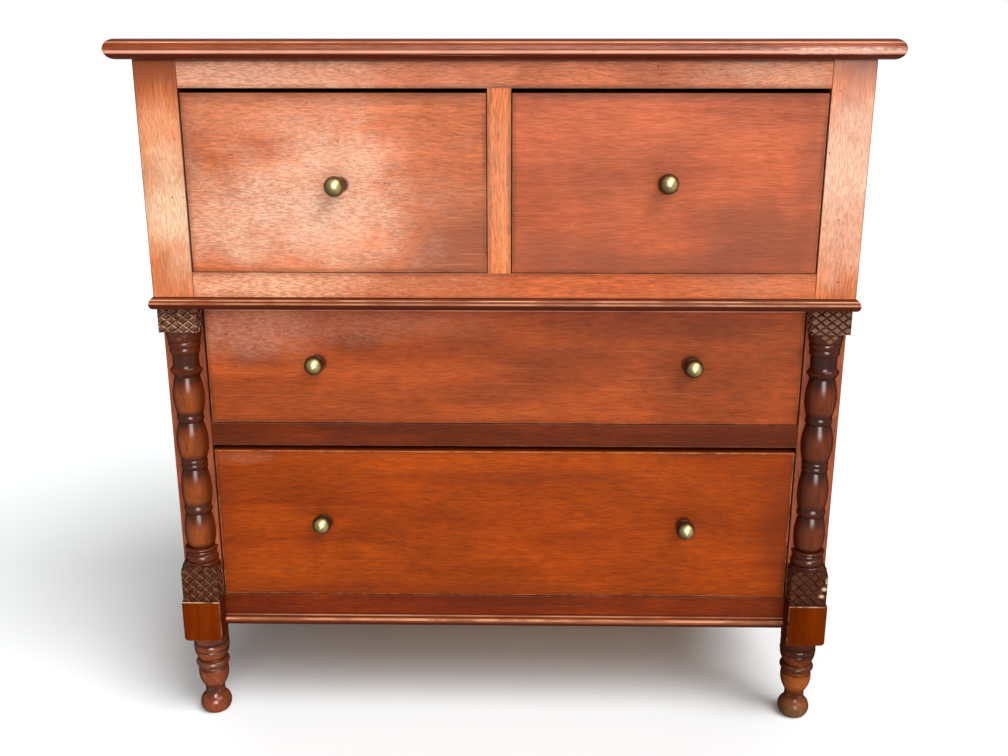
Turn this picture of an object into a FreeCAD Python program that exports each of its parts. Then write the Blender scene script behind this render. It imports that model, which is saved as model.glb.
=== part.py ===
import FreeCAD, Part
import os

V = FreeCAD.Vector

# A chest of drawers: two drawers side by side in a forward upper stage, and two wide ones
# in a lower stage that is set back between half-round turned columns.
# Lengths are in millimetres, +X is right as seen from the front, +Y is back and +Z is up.
# The origin lies on the floor under the middle of the top board.

# Top board
TOP_WIDTH = 1070.0
TOP_DEPTH = 510.0
TOP_THICKNESS = 27.0
TOP_FRONT_OVERHANG = 31.0
TOP_SIDE_OVERHANG = 28.0
TOP_REAR_OVERHANG = 9.0
NOSE_DEPTH_SHARE = 0.46

# Case
POST_SIZE = 60.0
POST_EASE = 1.5
LOWER_SETBACK = 34.0
TENON_LENGTH = 20.0
TENON_THICKNESS = 10.0
TENON_SHOULDER = 9.0

# Heights of the front, stacked up from the floor
CASE_CLEARANCE = 161.0
BOTTOM_RAIL_HEIGHT = 52.0
LOWER_OPENING_HEIGHT = 254.0
BLADE_HEIGHT = 36.0
MIDDLE_OPENING_HEIGHT = 186.0
WAIST_RAIL_HEIGHT = 54.0
UPPER_OPENING_HEIGHT = 257.0
TOP_RAIL_HEIGHT = 38.0

# Upper front
TOP_RAIL_THICKNESS = 26.0
MUNTIN_WIDTH = 33.0
MUNTIN_OFFSET = -5.5
MUNTIN_TENON = 15.0
MUNTIN_TENON_INSET = 5.0

# Feet and plain blocks of the front posts
FRONT_POST_DEPTH = 72.0
BLOCK_DROP = 14.0
BLOCK_HEIGHT = 67.5
BLOCK_DEPTH = 40.0
BLOCK_CORNER = 7.0

# A row is a straight run to one point, or an arc through one point to the next.
# A point is a share of the height and a share of half the blank's width.
FOOT_SHARES = (
    ((0.0, 0.62),),
    ((0.090, 0.83), (0.165, 0.74)),
    ((0.200, 0.585), (0.255, 0.515)),
    ((0.300, 0.53), (0.340, 0.62)),
    ((0.430, 0.785), (0.530, 0.79)),
    ((0.540, 0.74),),
    ((0.552, 0.79), (0.564, 0.75)),
    ((0.570, 0.75),),
    ((0.607, 0.89), (0.648, 0.71)),
    ((0.655, 0.68),),
    ((0.705, 0.84), (0.772, 0.925)),
    ((0.780, 0.90),),
    ((0.812, 0.945), (0.845, 0.90)),
    ((0.853, 0.93),),
    ((1.0, 0.93),),
)

# Split columns
COLUMN_BLANK = 57.0
COLUMN_EASE = 1.2
CARVING_DEPTH = 1.5
LOWER_CARVED_HEIGHT = 48.5
UPPER_CARVED_HEIGHT = 37.0
CLEAR_RADIUS_SHARE = 1.43
COLUMN_SHARES = (
    ((-0.012, 1.43),),
    ((0.014, 1.27), (0.028, 0.93)),
    ((0.033, 0.85),),
    ((0.047, 0.905), (0.062, 0.86)),
    ((0.066, 0.80),),
    ((0.073, 0.83), (0.080, 0.80)),
    ((0.084, 0.85),),
    ((0.090, 0.91), (0.096, 0.85)),
    ((0.097, 0.71),),
    ((0.168, 0.85), (0.241, 0.68)),
    ((0.247, 0.73),),
    ((0.259, 0.775), (0.271, 0.74)),
    ((0.276, 0.72),),
    ((0.354, 0.825), (0.430, 0.65)),
    ((0.434, 0.68),),
    ((0.444, 0.715), (0.453, 0.68)),
    ((0.462, 0.715), (0.471, 0.68)),
    ((0.475, 0.685),),
    ((0.552, 0.855), (0.627, 0.64)),
    ((0.631, 0.68),),
    ((0.643, 0.72), (0.655, 0.68)),
    ((0.659, 0.68),),
    ((0.733, 0.84), (0.811, 0.66)),
    ((0.816, 0.68),),
    ((0.834, 0.85),),
    ((0.840, 0.86),),
    ((0.847, 0.75), (0.863, 0.69)),
    ((0.905, 0.70),),
    ((0.908, 0.77),),
    ((0.919, 0.80), (0.929, 0.77)),
    ((0.933, 0.79),),
    ((0.944, 0.845), (0.955, 0.80)),
    ((0.958, 0.85),),
    ((0.978, 0.90), (1.0, 0.925)),
    ((1.0, 1.30),),
    ((1.008, 1.43),),
)

# Mouldings
WAIST_MOULDING_HEIGHT = 18.0
WAIST_MOULDING_DEPTH = 6.5
BEAD_HEIGHT = 13.0
BEAD_DEPTH = 7.0
# A point is a share of the moulding's depth and a share of its height.
WAIST_MOULDING_SHARES = (
    ((0.0, 0.0),),
    ((0.45, 0.0),),
    ((1.0, 0.37), (0.83, 0.63)),
    ((0.53, 0.84), (0.14, 0.94)),
    ((0.0, 1.0),),
)
BEAD_SHARES = (
    ((0.0, 0.0),),
    ((0.35, 0.0),),
    ((1.0, 0.42), (0.50, 0.80)),
    ((0.38, 0.80),),
    ((0.38, 1.0),),
    ((0.0, 1.0),),
)

# Panelled sides
SIDE_RAIL_THICKNESS = 24.0
TOP_SIDE_RAIL_HEIGHT = 72.0
WAIST_SIDE_RAIL_RISE = 12.0
WAIST_SIDE_RAIL_DROP = 24.0
BOTTOM_SIDE_RAIL_HEIGHT = 84.0
PANEL_THICKNESS = 8.0
PANEL_INSET = 8.0
PANEL_TONGUE = 7.5

# Back
BACK_BOARD_THICKNESS = 14.0
BACK_RABBET = 20.0
BACK_LAP = 10.0
BACK_BOARD_COUNT = 5
REAR_RAIL_THICKNESS = 24.0
REAR_RAIL_HEIGHT = 46.0

# Runners, guides, kickers and stops
RUNNER_WIDTH = 30.0
RUNNER_HEIGHT = 22.0
RUNNER_TENON = 8.0
RUNNER_TENON_THICKNESS = 8.0
GUIDE_WIDTH = 20.0
GUIDE_RISE = 18.0
STOP_WIDTH = 24.0
STOP_HEIGHT = 14.0
STOP_CLEARANCE = 0.3

# Drawers
DRAWER_FRONT_THICKNESS = 22.0
DRAWER_SIDE_THICKNESS = 12.0
DRAWER_BACK_THICKNESS = 12.0
DRAWER_BOTTOM_THICKNESS = 9.0
DRAWER_BOTTOM_TONGUE = 6.0
DRAWER_BOTTOM_EDGE = 5.0
DRAWER_BOTTOM_BEVEL = 24.0
DRAWER_BOTTOM_RISE = 11.0
DRAWER_SIDE_DROP = 5.0
DRAWER_FRONT_EASE = 1.2
DRAWER_SIDE_GAP = 1.5
DRAWER_RUN_GAP = 0.3
DRAWER_FRONT_LIFT = 0.7
DRAWER_REAR_ROOM = 12.0
UPPER_HEAD_GAP = 6.5
MIDDLE_HEAD_GAP = 6.5
LOWER_HEAD_GAP = 9.0
DOVETAIL_LAP = 6.0
TAIL_PITCH = 52.0
TAIL_WIDTH_SHARE = 0.74
TAIL_SLOPE_SHARE = 0.16

# Knobs
KNOB_BALL = 29.0
KNOB_BALL_STANDOFF = 18.0
KNOB_FLANGE = 21.0
KNOB_FLANGE_THICKNESS = 2.5
KNOB_STEM = 11.0
KNOB_SHANK = 5.0
KNOB_SHANK_LENGTH = 16.0
KNOB_HOLE_CLEARANCE = 0.1
WIDE_KNOB_REACH_SHARE = 0.631
UPPER_KNOB_RISES = (0.0, 4.0)
MIDDLE_KNOB_RISES = (7.0, 4.5)
LOWER_KNOB_RISES = (7.0, 1.0)

CUT_OVERRUN = 5.0
FULL_TURN = 360.0
TOUCH = 1e-6

# Levels and planes that follow from the sizes above
Z_LOWER_RUN = CASE_CLEARANCE + BOTTOM_RAIL_HEIGHT
Z_BLADE = Z_LOWER_RUN + LOWER_OPENING_HEIGHT
Z_MIDDLE_RUN = Z_BLADE + BLADE_HEIGHT
Z_WAIST = Z_MIDDLE_RUN + MIDDLE_OPENING_HEIGHT
Z_UPPER_RUN = Z_WAIST + WAIST_RAIL_HEIGHT
Z_TOP_RAIL = Z_UPPER_RUN + UPPER_OPENING_HEIGHT
Z_CASE_TOP = Z_TOP_RAIL + TOP_RAIL_HEIGHT
FOOT_HEIGHT = CASE_CLEARANCE - BLOCK_DROP
Z_BLOCK_TOP = FOOT_HEIGHT + BLOCK_HEIGHT

HALF_CASE = TOP_WIDTH / 2 - TOP_SIDE_OVERHANG
HALF_OPENING = HALF_CASE - POST_SIZE
POST_AXIS = HALF_CASE - POST_SIZE / 2
MUNTIN_LEFT = MUNTIN_OFFSET - MUNTIN_WIDTH / 2
MUNTIN_RIGHT = MUNTIN_OFFSET + MUNTIN_WIDTH / 2

Y_TOP_FRONT = -TOP_DEPTH / 2
Y_FRONT = Y_TOP_FRONT + TOP_FRONT_OVERHANG
Y_LOWER_FRONT = Y_FRONT + LOWER_SETBACK
Y_POST_BACK = Y_FRONT + FRONT_POST_DEPTH
Y_FRONT_FOOT = Y_POST_BACK - POST_SIZE / 2
Y_TOP_RAIL_BACK = Y_FRONT + TOP_RAIL_THICKNESS
Y_CASE_BACK = TOP_DEPTH / 2 - TOP_REAR_OVERHANG
Y_REAR_POST = Y_CASE_BACK - POST_SIZE
Y_BACK_BOARDS = Y_CASE_BACK - BACK_BOARD_THICKNESS
Y_REAR_RAIL = Y_BACK_BOARDS - REAR_RAIL_THICKNESS
Y_DRAWER_END = Y_BACK_BOARDS - DRAWER_REAR_ROOM

X_SIDE_RAIL = HALF_CASE - SIDE_RAIL_THICKNESS
X_PANEL_OUTER = HALF_CASE - PANEL_INSET
X_PANEL_INNER = X_PANEL_OUTER - PANEL_THICKNESS

# Front rails: front plane, back plane, underside and upper side
FRONT_RAILS = {
    "top_front_rail": (Y_FRONT, Y_TOP_RAIL_BACK, Z_TOP_RAIL, Z_CASE_TOP),
    "waist_rail": (Y_FRONT, Y_POST_BACK, Z_WAIST, Z_UPPER_RUN),
    "middle_blade": (Y_LOWER_FRONT, Y_POST_BACK, Z_BLADE, Z_MIDDLE_RUN),
    "bottom_rail": (Y_LOWER_FRONT, Y_POST_BACK, CASE_CLEARANCE, Z_LOWER_RUN),
}

# Rear rails: underside and upper side
REAR_RAILS = {
    "top_rear_rail": (Z_TOP_RAIL, Z_CASE_TOP),
    "waist_rear_rail": (Z_UPPER_RUN - REAR_RAIL_HEIGHT, Z_UPPER_RUN),
    "middle_rear_rail": (Z_MIDDLE_RUN - REAR_RAIL_HEIGHT, Z_MIDDLE_RUN),
    "bottom_rear_rail": (Z_LOWER_RUN - REAR_RAIL_HEIGHT, Z_LOWER_RUN),
}

# Side rails: underside and upper side
SIDE_RAILS = {
    "top_side_rail": (Z_CASE_TOP - TOP_SIDE_RAIL_HEIGHT, Z_CASE_TOP),
    "waist_side_rail": (Z_WAIST - WAIST_SIDE_RAIL_DROP, Z_UPPER_RUN + WAIST_SIDE_RAIL_RISE),
    "bottom_side_rail": (CASE_CLEARANCE, CASE_CLEARANCE + BOTTOM_SIDE_RAIL_HEIGHT),
}

# Side panels: the rails that hold them below and above
SIDE_PANELS = {
    "lower_side_panel": ("bottom_side_rail", "waist_side_rail"),
    "upper_side_panel": ("waist_side_rail", "top_side_rail"),
}


def box(x0, x1, y0, y1, z0, z1):
    return Part.makeBox(x1 - x0, y1 - y0, z1 - z0, V(x0, y0, z0))


def mirrored(shape):
    return shape.mirror(V(0, 0, 0), V(1, 0, 0))


def mirrored_point(point):
    return V(-point.x, point.y, point.z)


def both_sides(shape):
    return [mirrored(shape), shape]


def save(name, solids):
    shape = solids[0] if len(solids) == 1 else Part.makeCompound(solids)
    shape.exportStep("parts/" + name + ".step")


def prism(points, along):
    return Part.Face(Part.makePolygon(points + points[:1])).extrude(along)


def profile_edges(rows, place):
    """Straight runs and arcs through rows of points, put in space by a function of two numbers."""
    here = rows[0][-1]
    edges = []
    for row in rows[1:]:
        end = row[-1]
        if len(row) == 1:
            edges.append(Part.LineSegment(place(*here), place(*end)).toShape())
        else:
            edges.append(Part.Arc(place(*here), place(*row[0]), place(*end)).toShape())
        here = end
    return edges


def scaled_rows(rows, height, radius, base):
    """Rows of height and radius shares as rows of radius and height."""
    return [[(radius * wide, base + height * high) for high, wide in row] for row in rows]


def turned(axis_x, axis_y, rows):
    """A profile of radius and height turned about an upright axis."""
    def place(radius, height):
        return V(axis_x + radius, axis_y, height)

    low = rows[0][0]
    high = rows[-1][-1]
    closed = [[(0, low[1])]] + rows + [[(0, high[1])], [(0, low[1])]]
    face = Part.Face(Part.Wire(profile_edges(closed, place)))
    return face.revolve(V(axis_x, axis_y, 0), V(0, 0, 1), FULL_TURN)


def eased(solid, radius, wanted):
    """Rounds the straight edges whose bounding boxes the test picks."""
    return solid.makeFillet(radius, [edge for edge in solid.Edges if wanted(edge.BoundBox)])


def upright(bounds):
    return bounds.XLength < TOUCH and bounds.YLength < TOUCH


def on_plane_y(y):
    return lambda bounds: abs(bounds.YMin - y) < TOUCH and abs(bounds.YMax - y) < TOUCH


def top_board():
    """A board with a rounded nose along its front and both ends."""
    nose = TOP_THICKNESS * NOSE_DEPTH_SHARE
    z0 = Z_CASE_TOP
    z1 = Z_CASE_TOP + TOP_THICKNESS
    middle = (z0 + z1) / 2
    half = TOP_WIDTH / 2
    back = TOP_DEPTH / 2

    def along_depth(y, z):
        return V(-half, y, z)

    def along_width(x, z):
        return V(x, Y_TOP_FRONT, z)

    front_rows = [
        [(Y_TOP_FRONT + nose, z0)],
        [(back, z0)],
        [(back, z1)],
        [(Y_TOP_FRONT + nose, z1)],
        [(Y_TOP_FRONT, middle), (Y_TOP_FRONT + nose, z0)],
    ]
    end_rows = [
        [(nose - half, z0)],
        [(half - nose, z0)],
        [(half, middle), (half - nose, z1)],
        [(nose - half, z1)],
        [(-half, middle), (nose - half, z0)],
    ]
    long_face = Part.Face(Part.Wire(profile_edges(front_rows, along_depth)))
    end_face = Part.Face(Part.Wire(profile_edges(end_rows, along_width)))
    return long_face.extrude(V(TOP_WIDTH, 0, 0)).common(end_face.extrude(V(0, TOP_DEPTH, 0)))


def front_tenon(span):
    """The right-hand tenon of a rail that runs between the front posts."""
    y0, y1, z0, z1 = span
    middle = (y0 + y1) / 2
    return box(HALF_OPENING, HALF_OPENING + TENON_LENGTH,
               middle - TENON_THICKNESS / 2, middle + TENON_THICKNESS / 2,
               z0 + TENON_SHOULDER, z1 - TENON_SHOULDER)


def rear_rail_span(name):
    return (Y_REAR_RAIL, Y_BACK_BOARDS) + REAR_RAILS[name]


def cross_rail(span):
    """A rail from post to post with a tenon at each end."""
    body = box(-HALF_OPENING, HALF_OPENING, *span)
    return body.multiFuse(both_sides(front_tenon(span))).removeSplitter()


def side_tenons(span):
    """Front and rear tenons of a right-hand side rail."""
    z0, z1 = span
    middle = (X_PANEL_INNER + X_PANEL_OUTER) / 2
    x0 = middle - TENON_THICKNESS / 2
    x1 = middle + TENON_THICKNESS / 2
    low = z0 + PANEL_TONGUE + TENON_SHOULDER
    high = z1 - PANEL_TONGUE - TENON_SHOULDER
    front = box(x0, x1, Y_POST_BACK - TENON_LENGTH, Y_POST_BACK, low, high)
    rear = box(x0, x1, Y_REAR_POST, Y_REAR_POST + TENON_LENGTH, low, high)
    return front, rear


def side_panel(name):
    """A flat panel whose edges stand in grooves in the posts and rails."""
    below, above = SIDE_PANELS[name]
    return box(X_PANEL_INNER, X_PANEL_OUTER,
               Y_POST_BACK - PANEL_TONGUE, Y_REAR_POST + PANEL_TONGUE,
               SIDE_RAILS[below][1] - PANEL_TONGUE, SIDE_RAILS[above][0] + PANEL_TONGUE)


def side_rail(name):
    span = SIDE_RAILS[name]
    body = box(X_SIDE_RAIL, HALF_CASE, Y_POST_BACK, Y_REAR_POST, *span)
    rail = body.multiFuse(side_tenons(span)).removeSplitter()
    return rail.cut([side_panel(panel) for panel in SIDE_PANELS])


def turned_foot(axis_y):
    """A right-hand turned foot that runs on up to the underside of the case."""
    rows = scaled_rows(FOOT_SHARES, FOOT_HEIGHT, POST_SIZE / 2, 0)
    collar = rows[-1][-1][0]
    return turned(POST_AXIS, axis_y, rows + [[(collar, CASE_CLEARANCE)]])


def block_corner():
    """What is taken off the plain block to round its outer lower corner."""
    x = HALF_CASE - BLOCK_CORNER
    z = FOOT_HEIGHT + BLOCK_CORNER
    near = Y_FRONT - CUT_OVERRUN
    far = Y_FRONT + BLOCK_DEPTH + CUT_OVERRUN
    corner = box(x, HALF_CASE + CUT_OVERRUN, near, far, FOOT_HEIGHT - CUT_OVERRUN, z)
    return corner.cut(Part.makeCylinder(BLOCK_CORNER, far - near, V(x, near, z), V(0, 1, 0)))


def front_post():
    """The right front post, cut back behind the column and mortised for its rails."""
    square = box(HALF_OPENING, HALF_CASE, Y_FRONT, Y_POST_BACK, CASE_CLEARANCE, Z_CASE_TOP)
    block = box(HALF_OPENING, HALF_CASE, Y_FRONT, Y_FRONT + BLOCK_DEPTH, FOOT_HEIGHT, CASE_CLEARANCE)
    post = eased(square.fuse(block).removeSplitter(), POST_EASE, upright).cut(block_corner())
    recess = box(HALF_OPENING - CUT_OVERRUN, HALF_CASE + CUT_OVERRUN,
                 Y_FRONT - CUT_OVERRUN, Y_LOWER_FRONT, Z_BLOCK_TOP, Z_WAIST)
    mortises = [front_tenon(span) for span in FRONT_RAILS.values()]
    mortises += [side_tenons(span)[0] for span in SIDE_RAILS.values()]
    grooves = [side_panel(name) for name in SIDE_PANELS]
    return post.fuse(turned_foot(Y_FRONT_FOOT)).cut([recess] + mortises + grooves)


def rear_post():
    """The right rear post, rabbeted for the back boards and mortised for its rails."""
    rabbet = box(HALF_OPENING - CUT_OVERRUN, HALF_OPENING + BACK_RABBET,
                 Y_BACK_BOARDS, Y_CASE_BACK + CUT_OVERRUN,
                 CASE_CLEARANCE, Z_CASE_TOP + CUT_OVERRUN)
    mortises = [front_tenon(rear_rail_span(name)) for name in REAR_RAILS]
    mortises += [side_tenons(span)[1] for span in SIDE_RAILS.values()]
    grooves = [side_panel(name) for name in SIDE_PANELS]
    square = box(HALF_OPENING, HALF_CASE, Y_REAR_POST, Y_CASE_BACK, FOOT_HEIGHT, Z_CASE_TOP)
    post = eased(square, POST_EASE, upright).fuse(turned_foot(Y_REAR_POST + POST_SIZE / 2))
    return post.cut([rabbet] + mortises + grooves)


def split_column():
    """Half of a turned column for the right post, its square ends cut to the ground of their carving."""
    half = COLUMN_BLANK / 2
    ground = half - CARVING_DEPTH
    base = Z_BLOCK_TOP + LOWER_CARVED_HEIGHT
    length = Z_WAIST - UPPER_CARVED_HEIGHT - base
    rows = [[(half * CLEAR_RADIUS_SHARE, Z_BLOCK_TOP)]]
    rows += scaled_rows(COLUMN_SHARES, length, half, base)
    rows.append([(half * CLEAR_RADIUS_SHARE, Z_WAIST)])
    front = Y_LOWER_FRONT - ground
    blank = box(POST_AXIS - ground, POST_AXIS + ground, front, Y_LOWER_FRONT, Z_BLOCK_TOP, Z_WAIST)
    at_front = on_plane_y(front)
    blank = eased(blank, COLUMN_EASE, lambda bounds: upright(bounds) and at_front(bounds))
    return blank.common(turned(POST_AXIS, Y_LOWER_FRONT, rows))


def muntin_tenons():
    """The stub tenons below and above the upright between the upper drawers."""
    near = Y_FRONT + MUNTIN_TENON_INSET
    sizes = (MUNTIN_LEFT + TENON_SHOULDER, MUNTIN_RIGHT - TENON_SHOULDER,
             near, near + TENON_THICKNESS)
    below = box(*sizes, Z_UPPER_RUN - MUNTIN_TENON, Z_UPPER_RUN)
    above = box(*sizes, Z_TOP_RAIL, Z_TOP_RAIL + MUNTIN_TENON)
    return below, above


def centre_muntin():
    body = box(MUNTIN_LEFT, MUNTIN_RIGHT, Y_FRONT, Y_TOP_RAIL_BACK, Z_UPPER_RUN, Z_TOP_RAIL)
    return body.multiFuse(muntin_tenons()).removeSplitter()


def strip(x0, x1, y0, y1, z1):
    """A runner or kicker between a front rail and a rear rail, and its two stub tenons."""
    z0 = z1 - RUNNER_HEIGHT
    low = (z0 + z1 - RUNNER_TENON_THICKNESS) / 2
    high = low + RUNNER_TENON_THICKNESS
    front = box(x0, x1, y0 - RUNNER_TENON, y0, low, high)
    rear = box(x0, x1, y1, y1 + RUNNER_TENON, low, high)
    return box(x0, x1, y0, y1, z0, z1).multiFuse([front, rear]).removeSplitter()


def strips(front, z1, with_centre):
    """The strips of one level: one inside each post, and one under or over the muntin."""
    outer = strip(HALF_OPENING - RUNNER_WIDTH, HALF_OPENING, front, Y_REAR_RAIL, z1)
    solids = both_sides(outer)
    if with_centre:
        left = MUNTIN_LEFT - RUNNER_WIDTH
        right = MUNTIN_RIGHT + RUNNER_WIDTH
        solids.append(strip(left, right, front, Y_REAR_RAIL, z1))
    return solids


def upper_runners():
    return strips(Y_POST_BACK, Z_UPPER_RUN, True)


def lower_runners():
    return strips(Y_POST_BACK, Z_MIDDLE_RUN, False) + strips(Y_POST_BACK, Z_LOWER_RUN, False)


def top_kickers():
    return strips(Y_TOP_RAIL_BACK, Z_TOP_RAIL + RUNNER_HEIGHT, True)


def drawer_guides():
    """Strips beside the runners, between the posts, and one behind the muntin."""
    solids = []
    for run in (Z_UPPER_RUN, Z_MIDDLE_RUN, Z_LOWER_RUN):
        guide = box(HALF_OPENING, HALF_OPENING + GUIDE_WIDTH, Y_POST_BACK, Y_REAR_POST,
                    run - RUNNER_HEIGHT, run + GUIDE_RISE)
        solids += both_sides(guide)
    solids.append(box(MUNTIN_LEFT, MUNTIN_RIGHT, Y_TOP_RAIL_BACK, Y_BACK_BOARDS,
                      Z_UPPER_RUN, Z_UPPER_RUN + GUIDE_RISE))
    return solids


def back_boards():
    """Horizontal boards that overlap in half their thickness."""
    half = HALF_OPENING + BACK_RABBET
    middle = (Y_BACK_BOARDS + Y_CASE_BACK) / 2
    height = (Z_CASE_TOP - CASE_CLEARANCE) / BACK_BOARD_COUNT
    solids = []
    for index in range(BACK_BOARD_COUNT):
        low = CASE_CLEARANCE + index * height
        high = low + height
        inner_low = low + (BACK_LAP if index > 0 else 0)
        inner_high = high + (BACK_LAP if index < BACK_BOARD_COUNT - 1 else 0)
        inner = box(-half, half, Y_BACK_BOARDS, middle, inner_low, inner_high)
        outer = box(-half, half, middle, Y_CASE_BACK, low, high)
        solids.append(inner.fuse(outer).removeSplitter())
    return solids


def moulding_rows(rows, depth, height):
    return [[(depth * out, height * up) for out, up in row] for row in rows]


def waist_mouldings():
    """A moulding across the front and along both sides, mitred at the front corners."""
    depth = WAIST_MOULDING_DEPTH
    rows = moulding_rows(WAIST_MOULDING_SHARES, depth, WAIST_MOULDING_HEIGHT)
    rows.append(rows[0])
    reach = HALF_CASE + depth

    def on_front(out, up):
        return V(-reach, Y_FRONT - out, Z_WAIST + up)

    def on_side(out, up):
        return V(HALF_CASE + out, Y_FRONT - depth, Z_WAIST + up)

    front = Part.Face(Part.Wire(profile_edges(rows, on_front))).extrude(V(reach + reach, 0, 0))
    run = Y_CASE_BACK - Y_FRONT + depth
    side = Part.Face(Part.Wire(profile_edges(rows, on_side))).extrude(V(0, run, 0))
    rise = V(0, 0, WAIST_MOULDING_HEIGHT)
    corner = V(HALF_CASE, Y_FRONT, Z_WAIST)
    outer = V(reach, Y_FRONT - depth, Z_WAIST)
    front_plan = [mirrored_point(outer), outer, corner, mirrored_point(corner)]
    side_plan = [corner, outer, V(reach, Y_CASE_BACK, Z_WAIST), V(HALF_CASE, Y_CASE_BACK, Z_WAIST)]
    return front.common(prism(front_plan, rise)), side.common(prism(side_plan, rise))


def bottom_bead():
    """A bead along the foot of the bottom rail, from post to post."""
    rows = moulding_rows(BEAD_SHARES, BEAD_DEPTH, BEAD_HEIGHT)
    rows.append(rows[0])

    def place(out, up):
        return V(-HALF_OPENING, Y_LOWER_FRONT - out, CASE_CLEARANCE + up)

    face = Part.Face(Part.Wire(profile_edges(rows, place)))
    return face.extrude(V(HALF_OPENING + HALF_OPENING, 0, 0))


def tail_points(shoulder, end, low, high):
    """The outline of a row of dovetails, upwards along one end of a drawer side."""
    count = max(2, round((high - low) / TAIL_PITCH))
    pitch = (high - low) / count
    wide = pitch * TAIL_WIDTH_SHARE
    narrow = wide - 2 * TAIL_SLOPE_SHARE * abs(end - shoulder)
    points = []
    for index in range(count):
        middle = low + pitch * (index + 0.5)
        points.append((shoulder, middle - narrow / 2))
        points.append((end, middle - wide / 2))
        points.append((end, middle + wide / 2))
        points.append((shoulder, middle + narrow / 2))
    return points


def drawer_side(x0, front, low, high, back_low):
    """A side with half-blind tails at the front and through tails at the back."""
    front_shoulder = front + DRAWER_FRONT_THICKNESS
    rear_shoulder = Y_DRAWER_END - DRAWER_BACK_THICKNESS
    outline = [(front_shoulder, low), (Y_DRAWER_END, low)]
    outline += [(Y_DRAWER_END, back_low), (rear_shoulder, back_low)]
    outline += tail_points(rear_shoulder, Y_DRAWER_END, back_low, high)
    outline += [(rear_shoulder, high), (front_shoulder, high)]
    outline += reversed(tail_points(front_shoulder, front + DOVETAIL_LAP, low, high))
    corners = [V(x0, y, z) for y, z in outline]
    return prism(corners, V(DRAWER_SIDE_THICKNESS, 0, 0))


def drawer_bottom(x0, x1, front, low):
    """A board bevelled underneath to a tongue along its front and both ends."""
    left = x0 + DRAWER_SIDE_THICKNESS - DRAWER_BOTTOM_TONGUE
    right = x1 - DRAWER_SIDE_THICKNESS + DRAWER_BOTTOM_TONGUE
    near = front + DRAWER_FRONT_THICKNESS - DRAWER_BOTTOM_TONGUE
    top = low + DRAWER_BOTTOM_THICKNESS
    lip = top - DRAWER_BOTTOM_EDGE
    bevel = DRAWER_BOTTOM_TONGUE + DRAWER_BOTTOM_BEVEL

    end_outline = [
        V(left, near, top),
        V(left, near, lip),
        V(left + DRAWER_BOTTOM_TONGUE, near, lip),
        V(left + bevel, near, low),
        V(right - bevel, near, low),
        V(right - DRAWER_BOTTOM_TONGUE, near, lip),
        V(right, near, lip),
        V(right, near, top),
    ]
    front_outline = [
        V(left, near, top),
        V(left, near, lip),
        V(left, near + DRAWER_BOTTOM_TONGUE, lip),
        V(left, near + bevel, low),
        V(left, Y_DRAWER_END, low),
        V(left, Y_DRAWER_END, top),
    ]
    across = prism(end_outline, V(0, Y_DRAWER_END - near, 0))
    return across.common(prism(front_outline, V(right - left, 0, 0)))


def knob(x, front, z):
    """A ball on a stem and flange, with a shank that screws into the drawer front."""
    ball = KNOB_BALL / 2
    stem = KNOB_STEM / 2
    flange = KNOB_FLANGE / 2
    shank = KNOB_SHANK / 2
    neck = KNOB_BALL_STANDOFF - (ball * ball - stem * stem) ** 0.5

    def place(radius, out):
        return V(x + radius, front - out, z)

    rows = [
        [(0, -KNOB_SHANK_LENGTH)],
        [(shank, -KNOB_SHANK_LENGTH)],
        [(shank, 0)],
        [(flange, 0)],
        [(flange, KNOB_FLANGE_THICKNESS / 2)],
        [(stem, KNOB_FLANGE_THICKNESS)],
        [(stem, neck)],
        [(ball, KNOB_BALL_STANDOFF), (0, KNOB_BALL_STANDOFF + ball)],
        [(0, -KNOB_SHANK_LENGTH)],
    ]
    face = Part.Face(Part.Wire(profile_edges(rows, place)))
    return face.revolve(V(x, front, z), V(0, 1, 0), FULL_TURN)


def knob_hole(x, front, z):
    radius = KNOB_SHANK / 2 + KNOB_HOLE_CLEARANCE
    start = V(x, front - CUT_OVERRUN, z)
    return Part.makeCylinder(radius, CUT_OVERRUN + KNOB_SHANK_LENGTH, start, V(0, 1, 0))


def drawer(left_edge, right_edge, front, run, top, knob_places):
    """The boards and knobs of one drawer that fills an opening, by node name ending."""
    x0 = left_edge + DRAWER_SIDE_GAP
    x1 = right_edge - DRAWER_SIDE_GAP
    low = run + DRAWER_RUN_GAP
    front_low = low + DRAWER_FRONT_LIFT
    side_top = top - DRAWER_SIDE_DROP
    bottom_low = low + DRAWER_BOTTOM_RISE
    back_low = bottom_low + DRAWER_BOTTOM_THICKNESS
    rear_shoulder = Y_DRAWER_END - DRAWER_BACK_THICKNESS

    bottom = drawer_bottom(x0, x1, front, bottom_low)
    left = drawer_side(x0, front, low, side_top, back_low)
    right = drawer_side(x1 - DRAWER_SIDE_THICKNESS, front, low, side_top, back_low)
    face = box(x0, x1, front, front + DRAWER_FRONT_THICKNESS, front_low, top)
    face = eased(face, DRAWER_FRONT_EASE, on_plane_y(front))
    holes = [knob_hole(x, front, z) for x, z in knob_places]
    back = box(x0, x1, rear_shoulder, Y_DRAWER_END, back_low, side_top)
    return {
        "front": [face.cut([left, right, bottom] + holes)],
        "left_side": [left.cut(bottom)],
        "right_side": [right.cut(bottom)],
        "back": [back.cut([left, right])],
        "bottom": [bottom],
        "knobs": [knob(x, front, z) for x, z in knob_places],
    }


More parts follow.
